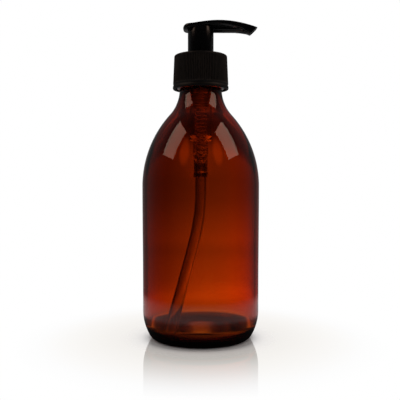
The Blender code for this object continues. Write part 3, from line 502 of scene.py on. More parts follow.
STIPPLES = 110
STIPPLE_DEPTH = 0.22 * MM


def screw_ridge(angle, z, start, turns, height, half_width):
    """Height of a screw ridge over a wall, as a function of angle and height.

    The ridge's centre line climbs one pitch a turn from start. Across it the
    height falls off as the square root of 1 minus the squared distance over
    its half width, and along it fades in and out over the first and last
    eighth of its length.
    """
    total = np.zeros(np.broadcast(angle, z).shape)
    for turn in range(math.ceil(turns)):
        wound = angle / math.tau + turn
        share = wound / turns
        fade = np.clip(np.minimum(share, 1 - share) * 8, 0.0, 1.0)
        off = (z - start - THREAD_PITCH * wound) / half_width
        total = np.maximum(total, height * fade * np.sqrt(np.clip(1 - off * off, 0.0, 1.0)))
    return total


def shoulder(settings, offset, count):
    """The neck and shoulder arcs, set in by offset, from the neck down to the body."""
    neck_radius = settings.finish_radius - NECK_INSET
    neck_z = LIP_Z - FINISH_HEIGHT
    body = (BODY_RADIUS - settings.shoulder_radius, settings.shoulder_start)
    neck = (neck_radius + settings.neck_fillet, neck_z)
    turn = math.degrees(math.atan2(neck[1] - body[1], neck[0] - body[0]))
    upper = arc(neck, settings.neck_fillet + offset, 180, 180 + turn, count // 2)
    lower = arc(body, settings.shoulder_radius - offset, turn, 0, count)
    return chain(upper, lower)


def bottle_profile(settings):
    """From the floor's middle up the inside, over the lip, down the outside and under."""
    neck_z = LIP_Z - FINISH_HEIGHT
    finish = settings.finish_radius
    bore = finish - FINISH_WALL
    panel = BODY_RADIUS - PANEL_INSET
    inside = panel - settings.wall
    t = np.linspace(0.0, 1.0, 9)[:, None]
    widening = np.concatenate([BODY_RADIUS - PANEL_INSET * ease(t),
                               settings.shoulder_start + (PANEL_TOP - settings.shoulder_start) * t], axis=1)

    floor_edge = inside - FLOOR_CORNER
    t = np.linspace(0.05, 1.0, 14)[:, None]
    floor = np.concatenate([floor_edge * t, FLOOR_THICKNESS + FLOOR_CROWN * (1 - t * t) ** 1.5], axis=1)
    floor = chain(floor, arc((floor_edge, FLOOR_THICKNESS + FLOOR_CORNER), FLOOR_CORNER, -90, 0, 14))
    inner = chain([(inside, PANEL_TOP)], widening[::-1] - (settings.wall, 0.0),
                  shoulder(settings, settings.wall, 48)[::-1])
    mouth = chain(line((bore, neck_z + GAP), (bore, LIP_Z - LIP_ROUND), 4),
                  arc((bore + LIP_ROUND, LIP_Z - LIP_ROUND), LIP_ROUND, 180, 90, 5))
    lip = arc((finish - LIP_ROUND, LIP_Z - LIP_ROUND), LIP_ROUND, 90, 0, 6)
    bead_top = neck_z + BEAD_HEIGHT
    thread_wall = line((finish, LIP_Z - LIP_ROUND), (finish, bead_top), 44)
    bead_edge = finish + BEAD_STAND - BEAD_ROUND
    bead = chain(arc((bead_edge, bead_top - BEAD_ROUND), BEAD_ROUND, 80, 0, 6),
                 arc((bead_edge, neck_z + BEAD_ROUND), BEAD_ROUND, 0, -85, 6))
    outer = shoulder(settings, 0.0, 64)

    center = panel - HEEL_RADIUS
    reach = HEEL_RADIUS - HEEL_CORNER
    drop = HEEL_HEIGHT - HEEL_CORNER
    ring = center + math.sqrt(reach ** 2 - drop ** 2)
    turn = math.degrees(math.asin(drop / reach))
    heel = chain(arc((center, HEEL_HEIGHT), HEEL_RADIUS, 0, -turn, 16),
                 arc((ring, HEEL_CORNER), HEEL_CORNER, -turn, -90, 12))
    edge = ring - BEARING_WIDTH
    under = chain(line((ring, 0.0), (edge, 0.0), 5),
                  arc((edge, PUSH_UP_CORNER), PUSH_UP_CORNER, -90, -165, 7))
    t = np.linspace(0.93, 0.04, 14)[:, None]
    dome = np.concatenate([edge * t, PUSH_UP - (PUSH_UP - PUSH_UP_CORNER) * t ** 2 * 0.5], axis=1)
    return chain(floor, inner, mouth, lip, thread_wall, bead, outer, widening, heel, under, dome)


def make_bottle(settings):
    """The glass: a turned profile with a screw ridge, and a row of notches under it.

    Round the bearing ring the height rises by the notch depth on every third
    column of points, less towards the ring's two edges.
    """
    neck_z = LIP_Z - FINISH_HEIGHT
    segments = STIPPLES * 3
    profile = bottle_profile(settings)

    def stand(angle, z):
        ridge = screw_ridge(angle, z, neck_z + THREAD_FIRST, THREAD_TURNS, THREAD_HEIGHT, THREAD_HALF_WIDTH)
        on_wall = np.abs(profile[:, 0:1] - settings.finish_radius) < 0.01 * MM
        return ridge * on_wall

    grid = revolve(profile, segments, stand)
    radius = np.hypot(grid[..., 0], grid[..., 1])
    middle = radius[np.abs(profile[:, 1]) < 0.01 * MM].mean()
    on_ring = np.clip(1.4 - np.abs(radius - middle) / (BEARING_WIDTH * 0.6), 0.0, 1.0)
    on_ring = on_ring * (grid[..., 2] < 0.4 * MM)
    notch = (np.arange(segments) % 3 == 0)[None, :]
    grid[..., 2] += STIPPLE_DEPTH * on_ring * notch
    low = (0.0, 0.0, FLOOR_THICKNESS + FLOOR_CROWN)
    under = (0.0, 0.0, PUSH_UP)
    return mesh_object("glass_bottle", grid, poles=(low, under), sharp=60.0)


# ---------------------------------------------------------------------- collar
COLLAR_WALL = 1.5 * MM
COLLAR_DECK = 1.6 * MM
COLLAR_THREAD_ROOM = 0.55 * MM
COLLAR_RIB_INSET = 0.13 * MM
COLLAR_TAPER = 0.67 * MM
COLLAR_BAND_INSET = 0.25 * MM
COLLAR_TOP_ROUND = 0.8 * MM
BAND_HEIGHT = 2.9 * MM
BAND_BEAD_HEIGHT = 1.9 * MM
COLLAR_THREAD_HEIGHT = 0.85 * MM
RIB_SAMPLES = 8


def collar_profile(bottle):
    """Closed outline: deck, tapering ribbed wall, smooth band with a bead, inside wall."""
    inner = bottle.finish_radius + THREAD_HEIGHT + 0.05 * MM + COLLAR_THREAD_ROOM
    bead = inner + COLLAR_WALL
    foot = bead - COLLAR_RIB_INSET
    top = foot - COLLAR_TAPER
    low = COLLAR_LOW.z
    band_top = low + BAND_HEIGHT
    deck_low = DECK_TOP - COLLAR_DECK
    hole = RING_HIGH.x - RING_RIM_OVERHANG + RUNNING_GAP
    edge = arc((top - COLLAR_TOP_ROUND, DECK_TOP - COLLAR_TOP_ROUND), COLLAR_TOP_ROUND, 90, 0, 6)
    wall = line((top, DECK_TOP - COLLAR_TOP_ROUND), (foot, band_top), 34)
    step = rounded([(foot, band_top), (foot - 0.02 * MM, band_top - 0.12 * MM),
                    (foot - COLLAR_BAND_INSET, band_top - 0.32 * MM),
                    (foot - COLLAR_BAND_INSET, low + BAND_BEAD_HEIGHT + 0.15 * MM)],
                   0.12 * MM, 3, closed=False)
    half = BAND_BEAD_HEIGHT / 2
    bulge = np.linspace(90.0, -72.0, 13)
    bead_depth = COLLAR_BAND_INSET + COLLAR_RIB_INSET
    bead_arc = np.stack([bead - bead_depth + bead_depth * np.cos(np.radians(bulge)) ** 0.7,
                         low + half + half * np.sin(np.radians(bulge))], axis=1)
    foot_edge = [(bead - 0.45 * MM, low), (inner + 0.3 * MM, low), (inner, low + 0.45 * MM)]
    bore = line((inner, low + 0.5 * MM), (inner, deck_low), 44)
    deck = chain([(hole, deck_low)], [(hole, DECK_TOP - 0.15 * MM)], [(hole + 0.15 * MM, DECK_TOP)])
    return chain(edge, wall, step, bead_arc, foot_edge, bore, deck), (band_top, inner, foot, top)


def make_collar(settings, bottle):
    """Screw collar: a turned outline with ribs outside and a screw ridge inside.

    Over the ribbed stretch the radius falls by the groove depth times the
    positive part of the cosine of the angle times the number of ribs, to the
    power 0.7, and the grooves fade out over a short way at each end.
    """
    profile, (band_top, inner, foot, top) = collar_profile(bottle)
    neck_z = LIP_Z - FINISH_HEIGHT
    start = neck_z + THREAD_FIRST + THREAD_PITCH / 2
    groove_low = band_top + 0.15 * MM
    groove_high = DECK_TOP - 0.9 * MM

    def stand(angle, z):
        outside = profile[:, 0:1] > top - 0.3 * MM
        fade = ease((z - groove_low) / (0.35 * MM)) * ease((groove_high - z) / (0.45 * MM))
        groove = np.clip(np.cos(settings.ribs * angle) + 0.15, 0.0, 1.15) ** 0.7
        cut = settings.groove_depth * groove * fade * outside
        ridge = screw_ridge(angle, z, start, THREAD_TURNS, COLLAR_THREAD_HEIGHT, 0.9 * MM)
        within = np.abs(profile[:, 0:1] - inner) < 0.01 * MM
        return -cut - ridge * within

    grid = revolve(profile, settings.ribs * RIB_SAMPLES, stand)
    return mesh_object("ribbed_collar", grid, closed_rows=True, sharp=40.0)


# ------------------------------------------------------------------- lock ring
RING_RIM_OVERHANG = 1.08 * MM
RING_WALL = 0.5 * MM
RING_FLOOR = 1.0 * MM
RING_GUIDE_WALL = 0.6 * MM
RING_GUIDE_HEIGHT = 3.0 * MM
STEM_RADIUS = 2.85 * MM
STEM_WALL = 1.15 * MM
BOSS_WALL = 1.0 * MM
POST_CLEARANCE = 0.57 * MM
POST_HALF_ANGLE = math.radians(15)
PUMP_SEGMENTS = 128


def make_lock_ring():
    """Cup that guides the skirt: a turned outline, its well raised into two stop posts.

    The floor of the well stands up to the posts' height wherever the angle is
    within 15 degrees of +Y or -Y and the radius lies between the posts' sides.
    """
    rim = RING_HIGH.x
    outer = rim - RING_RIM_OVERHANG
    well = outer - RING_WALL
    guide = STEM_RADIUS + RUNNING_GAP
    guide_outer = guide + RING_GUIDE_WALL
    low = RING_LOW.z
    floor = low + RING_FLOOR
    rim_low = DECK_TOP + GAP
    post_out = well - RUNNING_GAP - SKIRT_WALL - RUNNING_GAP
    post_in = STEM_RADIUS + PRESS_GAP + BOSS_WALL + POST_CLEARANCE
    upper = [(well, floor), (well, RIM_TOP), (rim, RIM_TOP), (rim, rim_low), (outer, rim_low), (outer, low)]
    lower = [(guide, low), (guide, floor + RING_GUIDE_HEIGHT), (guide_outer, floor + RING_GUIDE_HEIGHT),
             (guide_outer, floor)]
    well_floor = [(post_in, floor), (post_in + 0.05 * MM, floor),
                  (post_out - 0.05 * MM, floor), (post_out, floor)]
    rim_edge = rounded(upper[1:5], 0.15 * MM, 3, closed=False)
    profile = chain(rim_edge, upper[5:], lower, well_floor, upper[:1])
    grid = revolve(profile, PUMP_SEGMENTS * 2)
    angle = np.arange(PUMP_SEGMENTS * 2) * math.tau / (PUMP_SEGMENTS * 2)
    from_side = np.abs(np.abs(np.angle(np.exp(1j * angle))) - math.pi / 2)
    on_post = from_side < POST_HALF_ANGLE
    raised = (np.abs(profile[:, 1] - floor) < 0.01 * MM) & (profile[:, 0] > post_in + 0.02 * MM)
    raised &= profile[:, 0] < post_out - 0.02 * MM
    grid[..., 2] += (SKIRT_BOTTOM - floor) * raised[:, None] * on_post[None, :]
    return mesh_object("guide_ring", grid, closed_rows=True, sharp=35.0)


# -------------------------------------------------------------- pump mouldings
HOUSING_WALL = 0.65 * MM
CYLINDER_OUTER = 6.5 * MM
CYLINDER_WALL = 0.75 * MM
CYLINDER_LENGTH = 35.5 * MM
CYLINDER_CONE = 2.2 * MM
BARREL_LENGTH = 6.7 * MM
BARREL_WALL = 0.5 * MM
SOCKET_WALL = 0.5 * MM
SOCKET_LENGTH = 8.4 * MM
SOCKET_RIM = 0.2 * MM
SOCKET_RIM_HEIGHT = 3.2 * MM
SEAT_BAND = 1.5 * MM
BALL_ROOM = 0.35 * MM
BALL_SEAT_WIDTH = 0.65 * MM
BALL_STOP = 0.45 * MM
STEM_CONE_TOP = 2.24 * MM
STEM_CONE_FOOT = 1.4 * MM
PISTON_BORE_EXTRA = 1.2 * MM
PISTON_HUB_WALL = 0.9 * MM
PISTON_WAIST_DEPTH = 0.9 * MM
PISTON_WAIST_HALF = 0.48 * MM
PISTON_LIP = 1.2 * MM


def make_housing(pump):
    """Pump cylinder: a turned outline of flange, cup, cylinder, barrel, valve and socket."""
    flange = HOUSING_HIGH.x
    ring_outer = RING_HIGH.x - RING_RIM_OVERHANG
    cup = ring_outer + RUNNING_GAP
    cup_outer = cup + HOUSING_WALL
    cup_floor = RING_LOW.z - GAP
    flange_low = FLANGE_TOP - 1.0 * MM
    cylinder = CYLINDER_OUTER - CYLINDER_WALL
    step = cup_floor - CYLINDER_LENGTH
    seat = step - BARREL_LENGTH
    barrel = pump.coil_radius + pump.wire_radius + RUNNING_GAP
    barrel_outer = barrel + BARREL_WALL
    band = seat - SEAT_BAND * 0.6
    socket = pump.tube_radius + PRESS_GAP
    socket_outer = socket + SOCKET_WALL
    rim = socket_outer + SOCKET_RIM
    low = HOUSING_LOW.z
    port_low = low + SOCKET_LENGTH
    ball = (BALL_HIGH.z - BALL_LOW.z) / 2
    chamber = ball + BALL_ROOM
    port = ball - BALL_SEAT_WIDTH
    seat_top = port_low + HOUSING_WALL + chamber - port
    cup_under = cup_floor - HOUSING_WALL * 1.4
    corners = [
        (flange, FLANGE_TOP), (flange, flange_low), (cup_outer, flange_low), (cup_outer, cup_under),
        (CYLINDER_OUTER, cup_under - (cup_outer - CYLINDER_OUTER) * 0.5), (CYLINDER_OUTER, step),
        (barrel_outer, step - CYLINDER_CONE * 0.4), (barrel_outer, band),
        (socket_outer, band - SEAT_BAND * 0.2), (rim, band - SEAT_BAND * 0.4), (rim, band - SEAT_BAND),
        (socket_outer, band - SEAT_BAND * 1.2), (socket_outer, low + SOCKET_RIM_HEIGHT),
        (rim, low + SOCKET_RIM_HEIGHT - SOCKET_RIM), (rim, low), (socket, low), (socket, port_low),
        (port, port_low), (port, seat_top - chamber + port), (chamber, seat_top),
        (chamber, seat - BALL_STOP - PRESS_GAP), (ball - PRESS_GAP, seat - BALL_STOP),
        (ball - PRESS_GAP, seat), (barrel, seat), (barrel, step + CYLINDER_CONE * 0.2),
        (cylinder, step + CYLINDER_CONE), (cylinder, cup_floor), (cup, cup_floor), (cup, FLANGE_TOP),
    ]
    grid = revolve(rounded(corners, 0.18 * MM, 3), PUMP_SEGMENTS)
    return mesh_object("pump_housing", grid, closed_rows=True)


def make_gasket():
    """Flat washer, a turned rectangle with softened edges."""
    inner = RING_HIGH.x - RING_RIM_OVERHANG + 2 * RUNNING_GAP + HOUSING_WALL
    outer = GASKET_HIGH.x
    corners = [(outer, GASKET_HIGH.z), (outer, GASKET_LOW.z), (inner, GASKET_LOW.z), (inner, GASKET_HIGH.z)]
    return mesh_object("neck_gasket", revolve(rounded(corners, 0.2 * MM, 4), PUMP_SEGMENTS), closed_rows=True)


def make_ball():
    """Inlet ball: circles of radius sin(t) at height cos(t), between its two poles."""
    low, high = BALL_LOW.z, BALL_HIGH.z
    radius = (high - low) / 2
    turn = np.linspace(0.0, math.pi, 26)[1:-1]
    profile = np.stack([radius * np.sin(turn), (low + high) / 2 + radius * np.cos(turn)], axis=1)
    return mesh_object("valve_ball", revolve(profile, 48), poles=((0.0, 0.0, high), (0.0, 0.0, low)))


def make_spring(pump):
    """Return spring: a circle carried along a helix with a closed turn at each end.

    The helix climbs a little over one wire's thickness in its first and last
    turn, and evenly between them.
    """
    radius = pump.wire_radius
    low = SPRING_LOW.z + radius
    high = SPRING_HIGH.z - radius
    turn = np.linspace(0.0, pump.turns, pump.turns * 40 + 1)
    closed = radius * 2.15
    middle = pump.turns - 2.0
    rise = closed * np.minimum(turn, 1.0)
    rise = rise + (high - low - 2 * closed) * np.clip(turn - 1.0, 0.0, middle) / middle
    rise = rise + closed * np.maximum(turn - 1.0 - middle, 0.0)
    angle = math.tau * turn
    coil = pump.coil_radius
    path = np.stack([coil * np.cos(angle), coil * np.sin(angle), low + rise], axis=1)
    grid = tube_grid(path, radius, 12, np.array([0.0, 0.0, 1.0]))
    return mesh_object("return_spring", grid, poles=(tuple(path[0]), tuple(path[-1])))


def make_stem():
    """Hollow stem, a turned outline that ends in the shoulder over the piston."""
    bore = STEM_RADIUS - STEM_WALL
    shoulder_radius = STEM_HIGH.x
    low, high = STEM_LOW.z, STEM_HIGH.z
    corners = [(STEM_RADIUS, high), (STEM_RADIUS, low + STEM_CONE_TOP),
               (shoulder_radius, low + STEM_CONE_FOOT), (shoulder_radius, low), (bore, low), (bore, high)]
    return mesh_object("pump_stem", revolve(rounded(corners, 0.25 * MM, 4), 96), closed_rows=True)


def make_piston():
    """Piston seal: a turned outline with a lip at each end and a waist between."""
    outer = PISTON_HIGH.x
    low, high = PISTON_LOW.z, PISTON_HIGH.z
    middle = (low + high) / 2
    waist = outer - PISTON_WAIST_DEPTH
    bore = STEM_RADIUS - STEM_WALL + PISTON_BORE_EXTRA
    hub = bore + PISTON_HUB_WALL
    lip = PISTON_LIP
    inner = outer - lip * 0.4
    corners = [(outer, high), (outer, high - lip), (waist, middle + PISTON_WAIST_HALF),
               (waist, middle - PISTON_WAIST_HALF), (outer, low + lip), (outer, low), (inner, low),
               (hub, low + lip), (hub, low), (bore, low),
               (bore, high), (hub, high), (hub, high - lip), (inner, high)]
    return mesh_object("piston_seal", revolve(rounded(corners, 0.15 * MM, 4), 96), closed_rows=True)


# ---------------------------------------------------------------------- tube
TUBE_STRAIGHT = 3.0 * MM
TUBE_BEND = 39.0 * MM
TUBE_SIDE_GAP = 1.9 * MM
TUBE_FLOOR_GAP = 0.3 * MM
TUBE_HEADING = math.radians(228.5)


def tube_path(bottle, pump, count):
    """Centre line: straight, then a bend whose slope eases in, then straight to the floor.

    In the bend the sideways share is t cubed times (1 - t / 2), whose slope
    grows smoothly from nothing to the last stretch's slope.
    """
    top = TUBE_HIGH.z
    bend_top = HOUSING_LOW.z - TUBE_STRAIGHT
    bend_low = bend_top - TUBE_BEND
    foot = FLOOR_THICKNESS + TUBE_FLOOR_GAP + pump.tube_radius / 2
    reach = BODY_RADIUS - PANEL_INSET - bottle.wall - pump.tube_radius - TUBE_SIDE_GAP
    slope = reach / (TUBE_BEND / 2 + bend_low - foot)
    z = np.linspace(top, foot, count)
    t = np.clip((bend_top - z) / TUBE_BEND, 0.0, 1.0)
    run = slope * (TUBE_BEND * t ** 3 * (1 - t / 2) + np.maximum(bend_low - z, 0.0))
    return np.stack([run * math.cos(TUBE_HEADING), run * math.sin(TUBE_HEADING), z], axis=1)


def make_dip_tube(bottle, pump):
    """Dip tube: circles along its path down the outside and back up the bore."""
    path = tube_path(bottle, pump, 90)
    radius = pump.tube_radius
    bore = radius - pump.tube_wall
    sideways = np.array([-math.sin(TUBE_HEADING), math.cos(TUBE_HEADING), 0.0])
    outside = tube_grid(path, radius, 56, sideways)
    inside = tube_grid(path, bore, 56, sideways)[::-1]
    return mesh_object("dip_tube_bent", np.concatenate([outside, inside]), closed_rows=True, sharp=40.0)


# ------------------------------------------------------------------------ head
SKIRT_RADIUS = 7.27 * MM
SKIRT_WALL = 0.85 * MM
PLATE_INSET = 0.17 * MM
SPOUT_HALF_WIDTH = 3.4 * MM
TAPER_START = 6.0 * MM
TAPER_END = 28.0 * MM
PLATE_CORNER = 5.0 * MM
PLATE_SQUARENESS = 2.6
LOBE_EXTRA = 0.3 * MM
LOBE_LENGTH = 4.5 * MM
LOBE_ROUND = 2.2 * MM
LOBE_LIFT = 0.6 * MM
LOBE_LIFT_LENGTH = 7.0 * MM
SPOUT_EXTRA = 1.0 * MM
CREST_HEIGHT = 6.16 * MM
BELLY_HALF_WIDTH = 3.2 * MM
BELLY_DROP = 0.3 * MM
BELLY_FALL_START = 18.0 * MM
CUT_RUN = 3.2 * MM
CUT_DROP = 3.1 * MM
MOUTH_WALL = 0.7 * MM
MOUTH_DEPTH = 9.0 * MM
THROAT_NARROWING = 0.45
HEAD_CLEARANCE = 1.0 * MM
PLATE_EXPONENT = 3.4
BELLY_EXPONENT = 2.6
JOIN_EXPONENT = 18
BELLY_RISE_START = -1.0 * MM
BELLY_RISE_LENGTH = 5.0 * MM
LEAN_START = 10.0 * MM
LEAN_LENGTH = 9.0 * MM
GATE_X = 4.5 * MM
GATE_RADIUS = 0.42 * MM
GATE_HEIGHT = 0.3 * MM
SKIRT_ROOT = 2.4 * MM
AXIS_RADIUS = 0.05 * MM
SPOUT_SIDES = 112
UNDERSIDE = RIM_TOP + STROKE + HEAD_CLEARANCE


def plate_top(head, x):
    """Height of the top line: two circular arcs that meet level at the crest, turned up at the rear."""
    run = x - head.crest_x
    radius = np.where(run > 0, head.front_arc, head.rear_arc)
    lift = LOBE_LIFT * (1 - ease((x - HEAD_LOW.x) / LOBE_LIFT_LENGTH))
    return UNDERSIDE + CREST_HEIGHT - radius + np.sqrt(radius ** 2 - run ** 2) + lift


def spout_sections(head, x, around, lean):
    """Sections of plate and belly at each x, as y and z arrays.

    Both shapes are superellipses about the plate's middle height, each with
    its own exponent, and the belly counts only below.
    Their distances from the middle along each direction are joined by a norm
    of high order, which leaves a small fillet where they meet.
    """
    rear = -HEAD_LOW.x
    plate_half = SKIRT_RADIUS - PLATE_INSET
    from_rear = x + rear
    left = np.clip(1 - from_rear / PLATE_CORNER, 0, 1)
    blunt = np.clip(1 - left ** PLATE_SQUARENESS, 0, 1) ** (1 / PLATE_SQUARENESS)
    taper = ease((x - TAPER_START) / (TAPER_END - TAPER_START))
    half = plate_half * blunt + (SPOUT_HALF_WIDTH - plate_half) * taper
    top = plate_top(head, x)
    lobe = LOBE_EXTRA * (1 - ease((from_rear - LOBE_ROUND) / LOBE_LENGTH))
    thick = head.plate_thickness + lobe + SPOUT_EXTRA * taper
    nose = np.sqrt(np.clip(1 - np.clip(1 - from_rear / LOBE_ROUND, 0, 1) ** 2, 0, 1))
    middle = top - thick / 2
    height = thick / 2 * np.maximum(nose, 1e-3)
    low_x = x - CUT_RUN * lean
    belly_low = UNDERSIDE - BELLY_DROP * ease((low_x - BELLY_FALL_START) / (HEAD_HIGH.x - BELLY_FALL_START))
    belly = np.maximum(middle - belly_low, 0.0) * ease((x - BELLY_RISE_START) / BELLY_RISE_LENGTH)

    direction_y = np.cos(around)[None, :] * half[:, None]
    direction_z = np.sin(around)[None, :] * (height * 1.6)[:, None]
    size = np.hypot(direction_y, direction_z)
    cy = direction_y / size
    cz = direction_z / size
    reach = np.abs(cy / half[:, None]) ** PLATE_EXPONENT + np.abs(cz / height[:, None]) ** PLATE_EXPONENT
    reach = reach ** (-1 / PLATE_EXPONENT)
    drop = np.maximum(belly, 1e-6)[:, None]
    keel = np.abs(cy / BELLY_HALF_WIDTH) ** BELLY_EXPONENT + np.abs(cz / drop) ** BELLY_EXPONENT
    keel = np.where(cz < 0, keel ** (-1 / BELLY_EXPONENT), 0.0)
    joined = (reach ** JOIN_EXPONENT + keel ** JOIN_EXPONENT) ** (1 / JOIN_EXPONENT)
    return cy * joined, middle[:, None] + cz * joined, top


def make_spout(head):
    """Thumb plate and spout: sections swept from the rear lobe to the oblique mouth.

    Towards the tip each section is leant back, by the cut's run over its drop
    times the depth below the top line. At the tip the outline rolls over its
    wall and runs back in, shrinking to the channel. The moulding's gate mark is
    a height that falls off as the exponential of minus the squared distance
    from it over its squared radius.
    """
    rear = HEAD_LOW.x
    front = HEAD_HIGH.x
    around = np.arange(SPOUT_SIDES) * math.tau / SPOUT_SIDES
    blunt = rear + (1 - np.cos(np.linspace(0.06, math.pi / 2, 22))) * PLATE_CORNER
    x = np.concatenate([blunt, np.linspace(rear + PLATE_CORNER, front, 74)[1:]])
    lean = ease((x - front + LEAN_START) / LEAN_LENGTH)
    y, z, top = spout_sections(head, x, around, lean)
    back = np.clip(top[:, None] - z, 0.0, None) * CUT_RUN / CUT_DROP * lean[:, None]
    places = x[:, None] - back
    outer = np.stack([places, y, z], axis=-1)

    tip = outer[-1]
    center = tip.mean(axis=0)
    reach = tip - center
    size = np.linalg.norm(reach, axis=1).min()
    wall_share = 1 - MOUTH_WALL / size
    roll = np.linspace(0.0, math.pi, 7)[1:]
    shares = (1 + wall_share) / 2 + (1 - wall_share) / 2 * np.cos(roll)
    rim = center + reach[None] * shares[:, None, None]
    depth = np.linspace(0.0, 1.0, 14)[1:]
    narrow = wall_share * (1 - THROAT_NARROWING * ease(depth))
    throat = center + reach[None] * narrow[:, None, None]
    throat[..., 0] -= (MOUTH_DEPTH * depth)[:, None]
    end = tuple(throat[-1].mean(axis=0))
    grid = np.concatenate([outer, rim, throat])

    gate = np.exp(-((grid[..., 0] - GATE_X) ** 2 + grid[..., 1] ** 2) / GATE_RADIUS ** 2)
    crown = plate_top(head, grid[..., 0])
    grid[..., 2] += GATE_HEIGHT * gate * (grid[..., 2] > crown - 0.4 * MM)
    start = tuple(outer[0].mean(axis=0))
    return mesh_object("thumb_plate_spout", grid, poles=(start, end), sharp=38.0)


def make_skirt():
    """Head skirt and stem boss: one turned outline that ends on the axis inside the plate."""
    root = UNDERSIDE + SKIRT_ROOT
    inside = SKIRT_RADIUS - SKIRT_WALL
    boss = STEM_RADIUS + PRESS_GAP + BOSS_WALL
    socket = STEM_RADIUS + PRESS_GAP
    ceiling = UNDERSIDE - GAP
    boss_low = RING_LOW.z + RING_FLOOR + RING_GUIDE_HEIGHT + STROKE + GAP
    socket_top = STEM_HIGH.z + GAP
    corners = [(AXIS_RADIUS, root), (SKIRT_RADIUS, root), (SKIRT_RADIUS, SKIRT_BOTTOM),
               (inside, SKIRT_BOTTOM), (inside, ceiling), (boss, ceiling), (boss, boss_low),
               (socket, boss_low), (socket, socket_top),
               (AXIS_RADIUS, socket_top)]
    profile = rounded(corners, 0.12 * MM, 3, closed=False)
    poles = ((0.0, 0.0, root), (0.0, 0.0, socket_top))
    return mesh_object("head_skirt", revolve(profile, 160), poles=poles, sharp=40.0)


# ----------------------------------------------------------------------- stage
THROUGH_STOPS = (
    (-0.25, 0.85), (-0.185, 0.72), (-0.15, 0.46), (-0.12, 0.37), (-0.105, 0.30), (-0.087, 0.36),
    (-0.055, 0.26),
    (-0.022, 0.175), (0.01, 0.15), (0.04, 0.16), (0.07, 0.17), (0.0915, 0.07), (0.115, 0.02), (0.16, 0.01),
    (0.248, 0.01), (0.28, 0.3), (0.45, 0.3),
)
SIDE_STOPS = (
    (-1.0, 0.06), (-0.50, 0.30), (-0.25, 0.65), (-0.10, 0.68), (0.0, 1.05), (0.10, 1.6), (0.20, 1.6),
    (0.40, 0.9), (0.60, 0.4), (1.0, 0.06),
)
GLOSS_STOPS = ((-1.0, 0.004), (-0.30, 0.008), (0.10, 0.04), (0.40, 0.08), (0.80, 0.08), (1.0, 0.17))
# Painted contact shadow: the floor's diffuse colour is nearly black under the bottle and pales out by 36 mm.
FLOOR_PAINTED_SHADOW_STOPS = ((24 * MM, 0.02), (28.5 * MM, 0.35), (33 * MM, 0.8), (36 * MM, 0.95))
# Painted glow that reflections and the glass see in place of the floor: painted shade near the base, paler
# outwards.
FLOOR_PAINTED_GLOW_STOPS = ((28 * MM, 0.004), (40 * MM, 0.02), (60 * MM, 0.1), (76 * MM, 0.34),
                    (95 * MM, 0.5), (130 * MM, 0.75))
# Painted warm reflection of the amber glass, tinting the floor's glow near the bottle.
FLOOR_PAINTED_REFLECTION_TINT = (1.0, 0.95, 0.88, 1.0)
FLOOR_POLISH_STOPS = ((27 * MM, 0.0), (31 * MM, 0.5), (46 * MM, 0.5), (58 * MM, 0.36), (80 * MM, 0.15),
                      (104 * MM, 0.0))
FLOOR_HALF = 2.0
PAINTED_REFLECTION_SPAN = (36 * MM, 90 * MM)
SHADOW_START = 31 * MM
FADE_SPAN = (80 * MM, 160 * MM)
LAMP_MIDDLE = 0.002
LAMP_ASIDE = 0.049
LAMP_HALF_WIDTH = 0.018
LAMP_HEIGHT = 0.070
LAMP_HALF_HEIGHT = 0.032
LAMP_LIGHT = 0.17
LAMP_CORE = 0.35
SOFTBOX_PLACE = (0.60, -0.16, 0.66)
SOFTBOX_AIM = (0.0, 0.0, 0.12)
SOFTBOX_SIZE = (0.42, 0.50)
SOFTBOX_COLOR = (1.0, 0.68, 0.52)
CAMERA_X = -0.4 * MM
CAMERA_DIP = 1.27
SENSOR_WIDTH = 36.0


def from_middle(tree):
    """Distance from the object's middle."""
    place = tree.nodes.new("ShaderNodeTexCoord")
    length = tree.nodes.new("ShaderNodeVectorMath")
    length.operation = "LENGTH"
    tree.links.new(place.outputs["Object"], length.inputs[0])
    return length.outputs["Value"]


def mixed(tree, factor, first, second):
    """A mix of two shaders: the first where the factor is 0, the second where it is 1."""
    node = tree.nodes.new("ShaderNodeMixShader")
    tree.links.new(factor, node.inputs["Fac"])
    tree.links.new(first, node.inputs[1])
    tree.links.new(second, node.inputs[2])
    return node.outputs["Shader"]


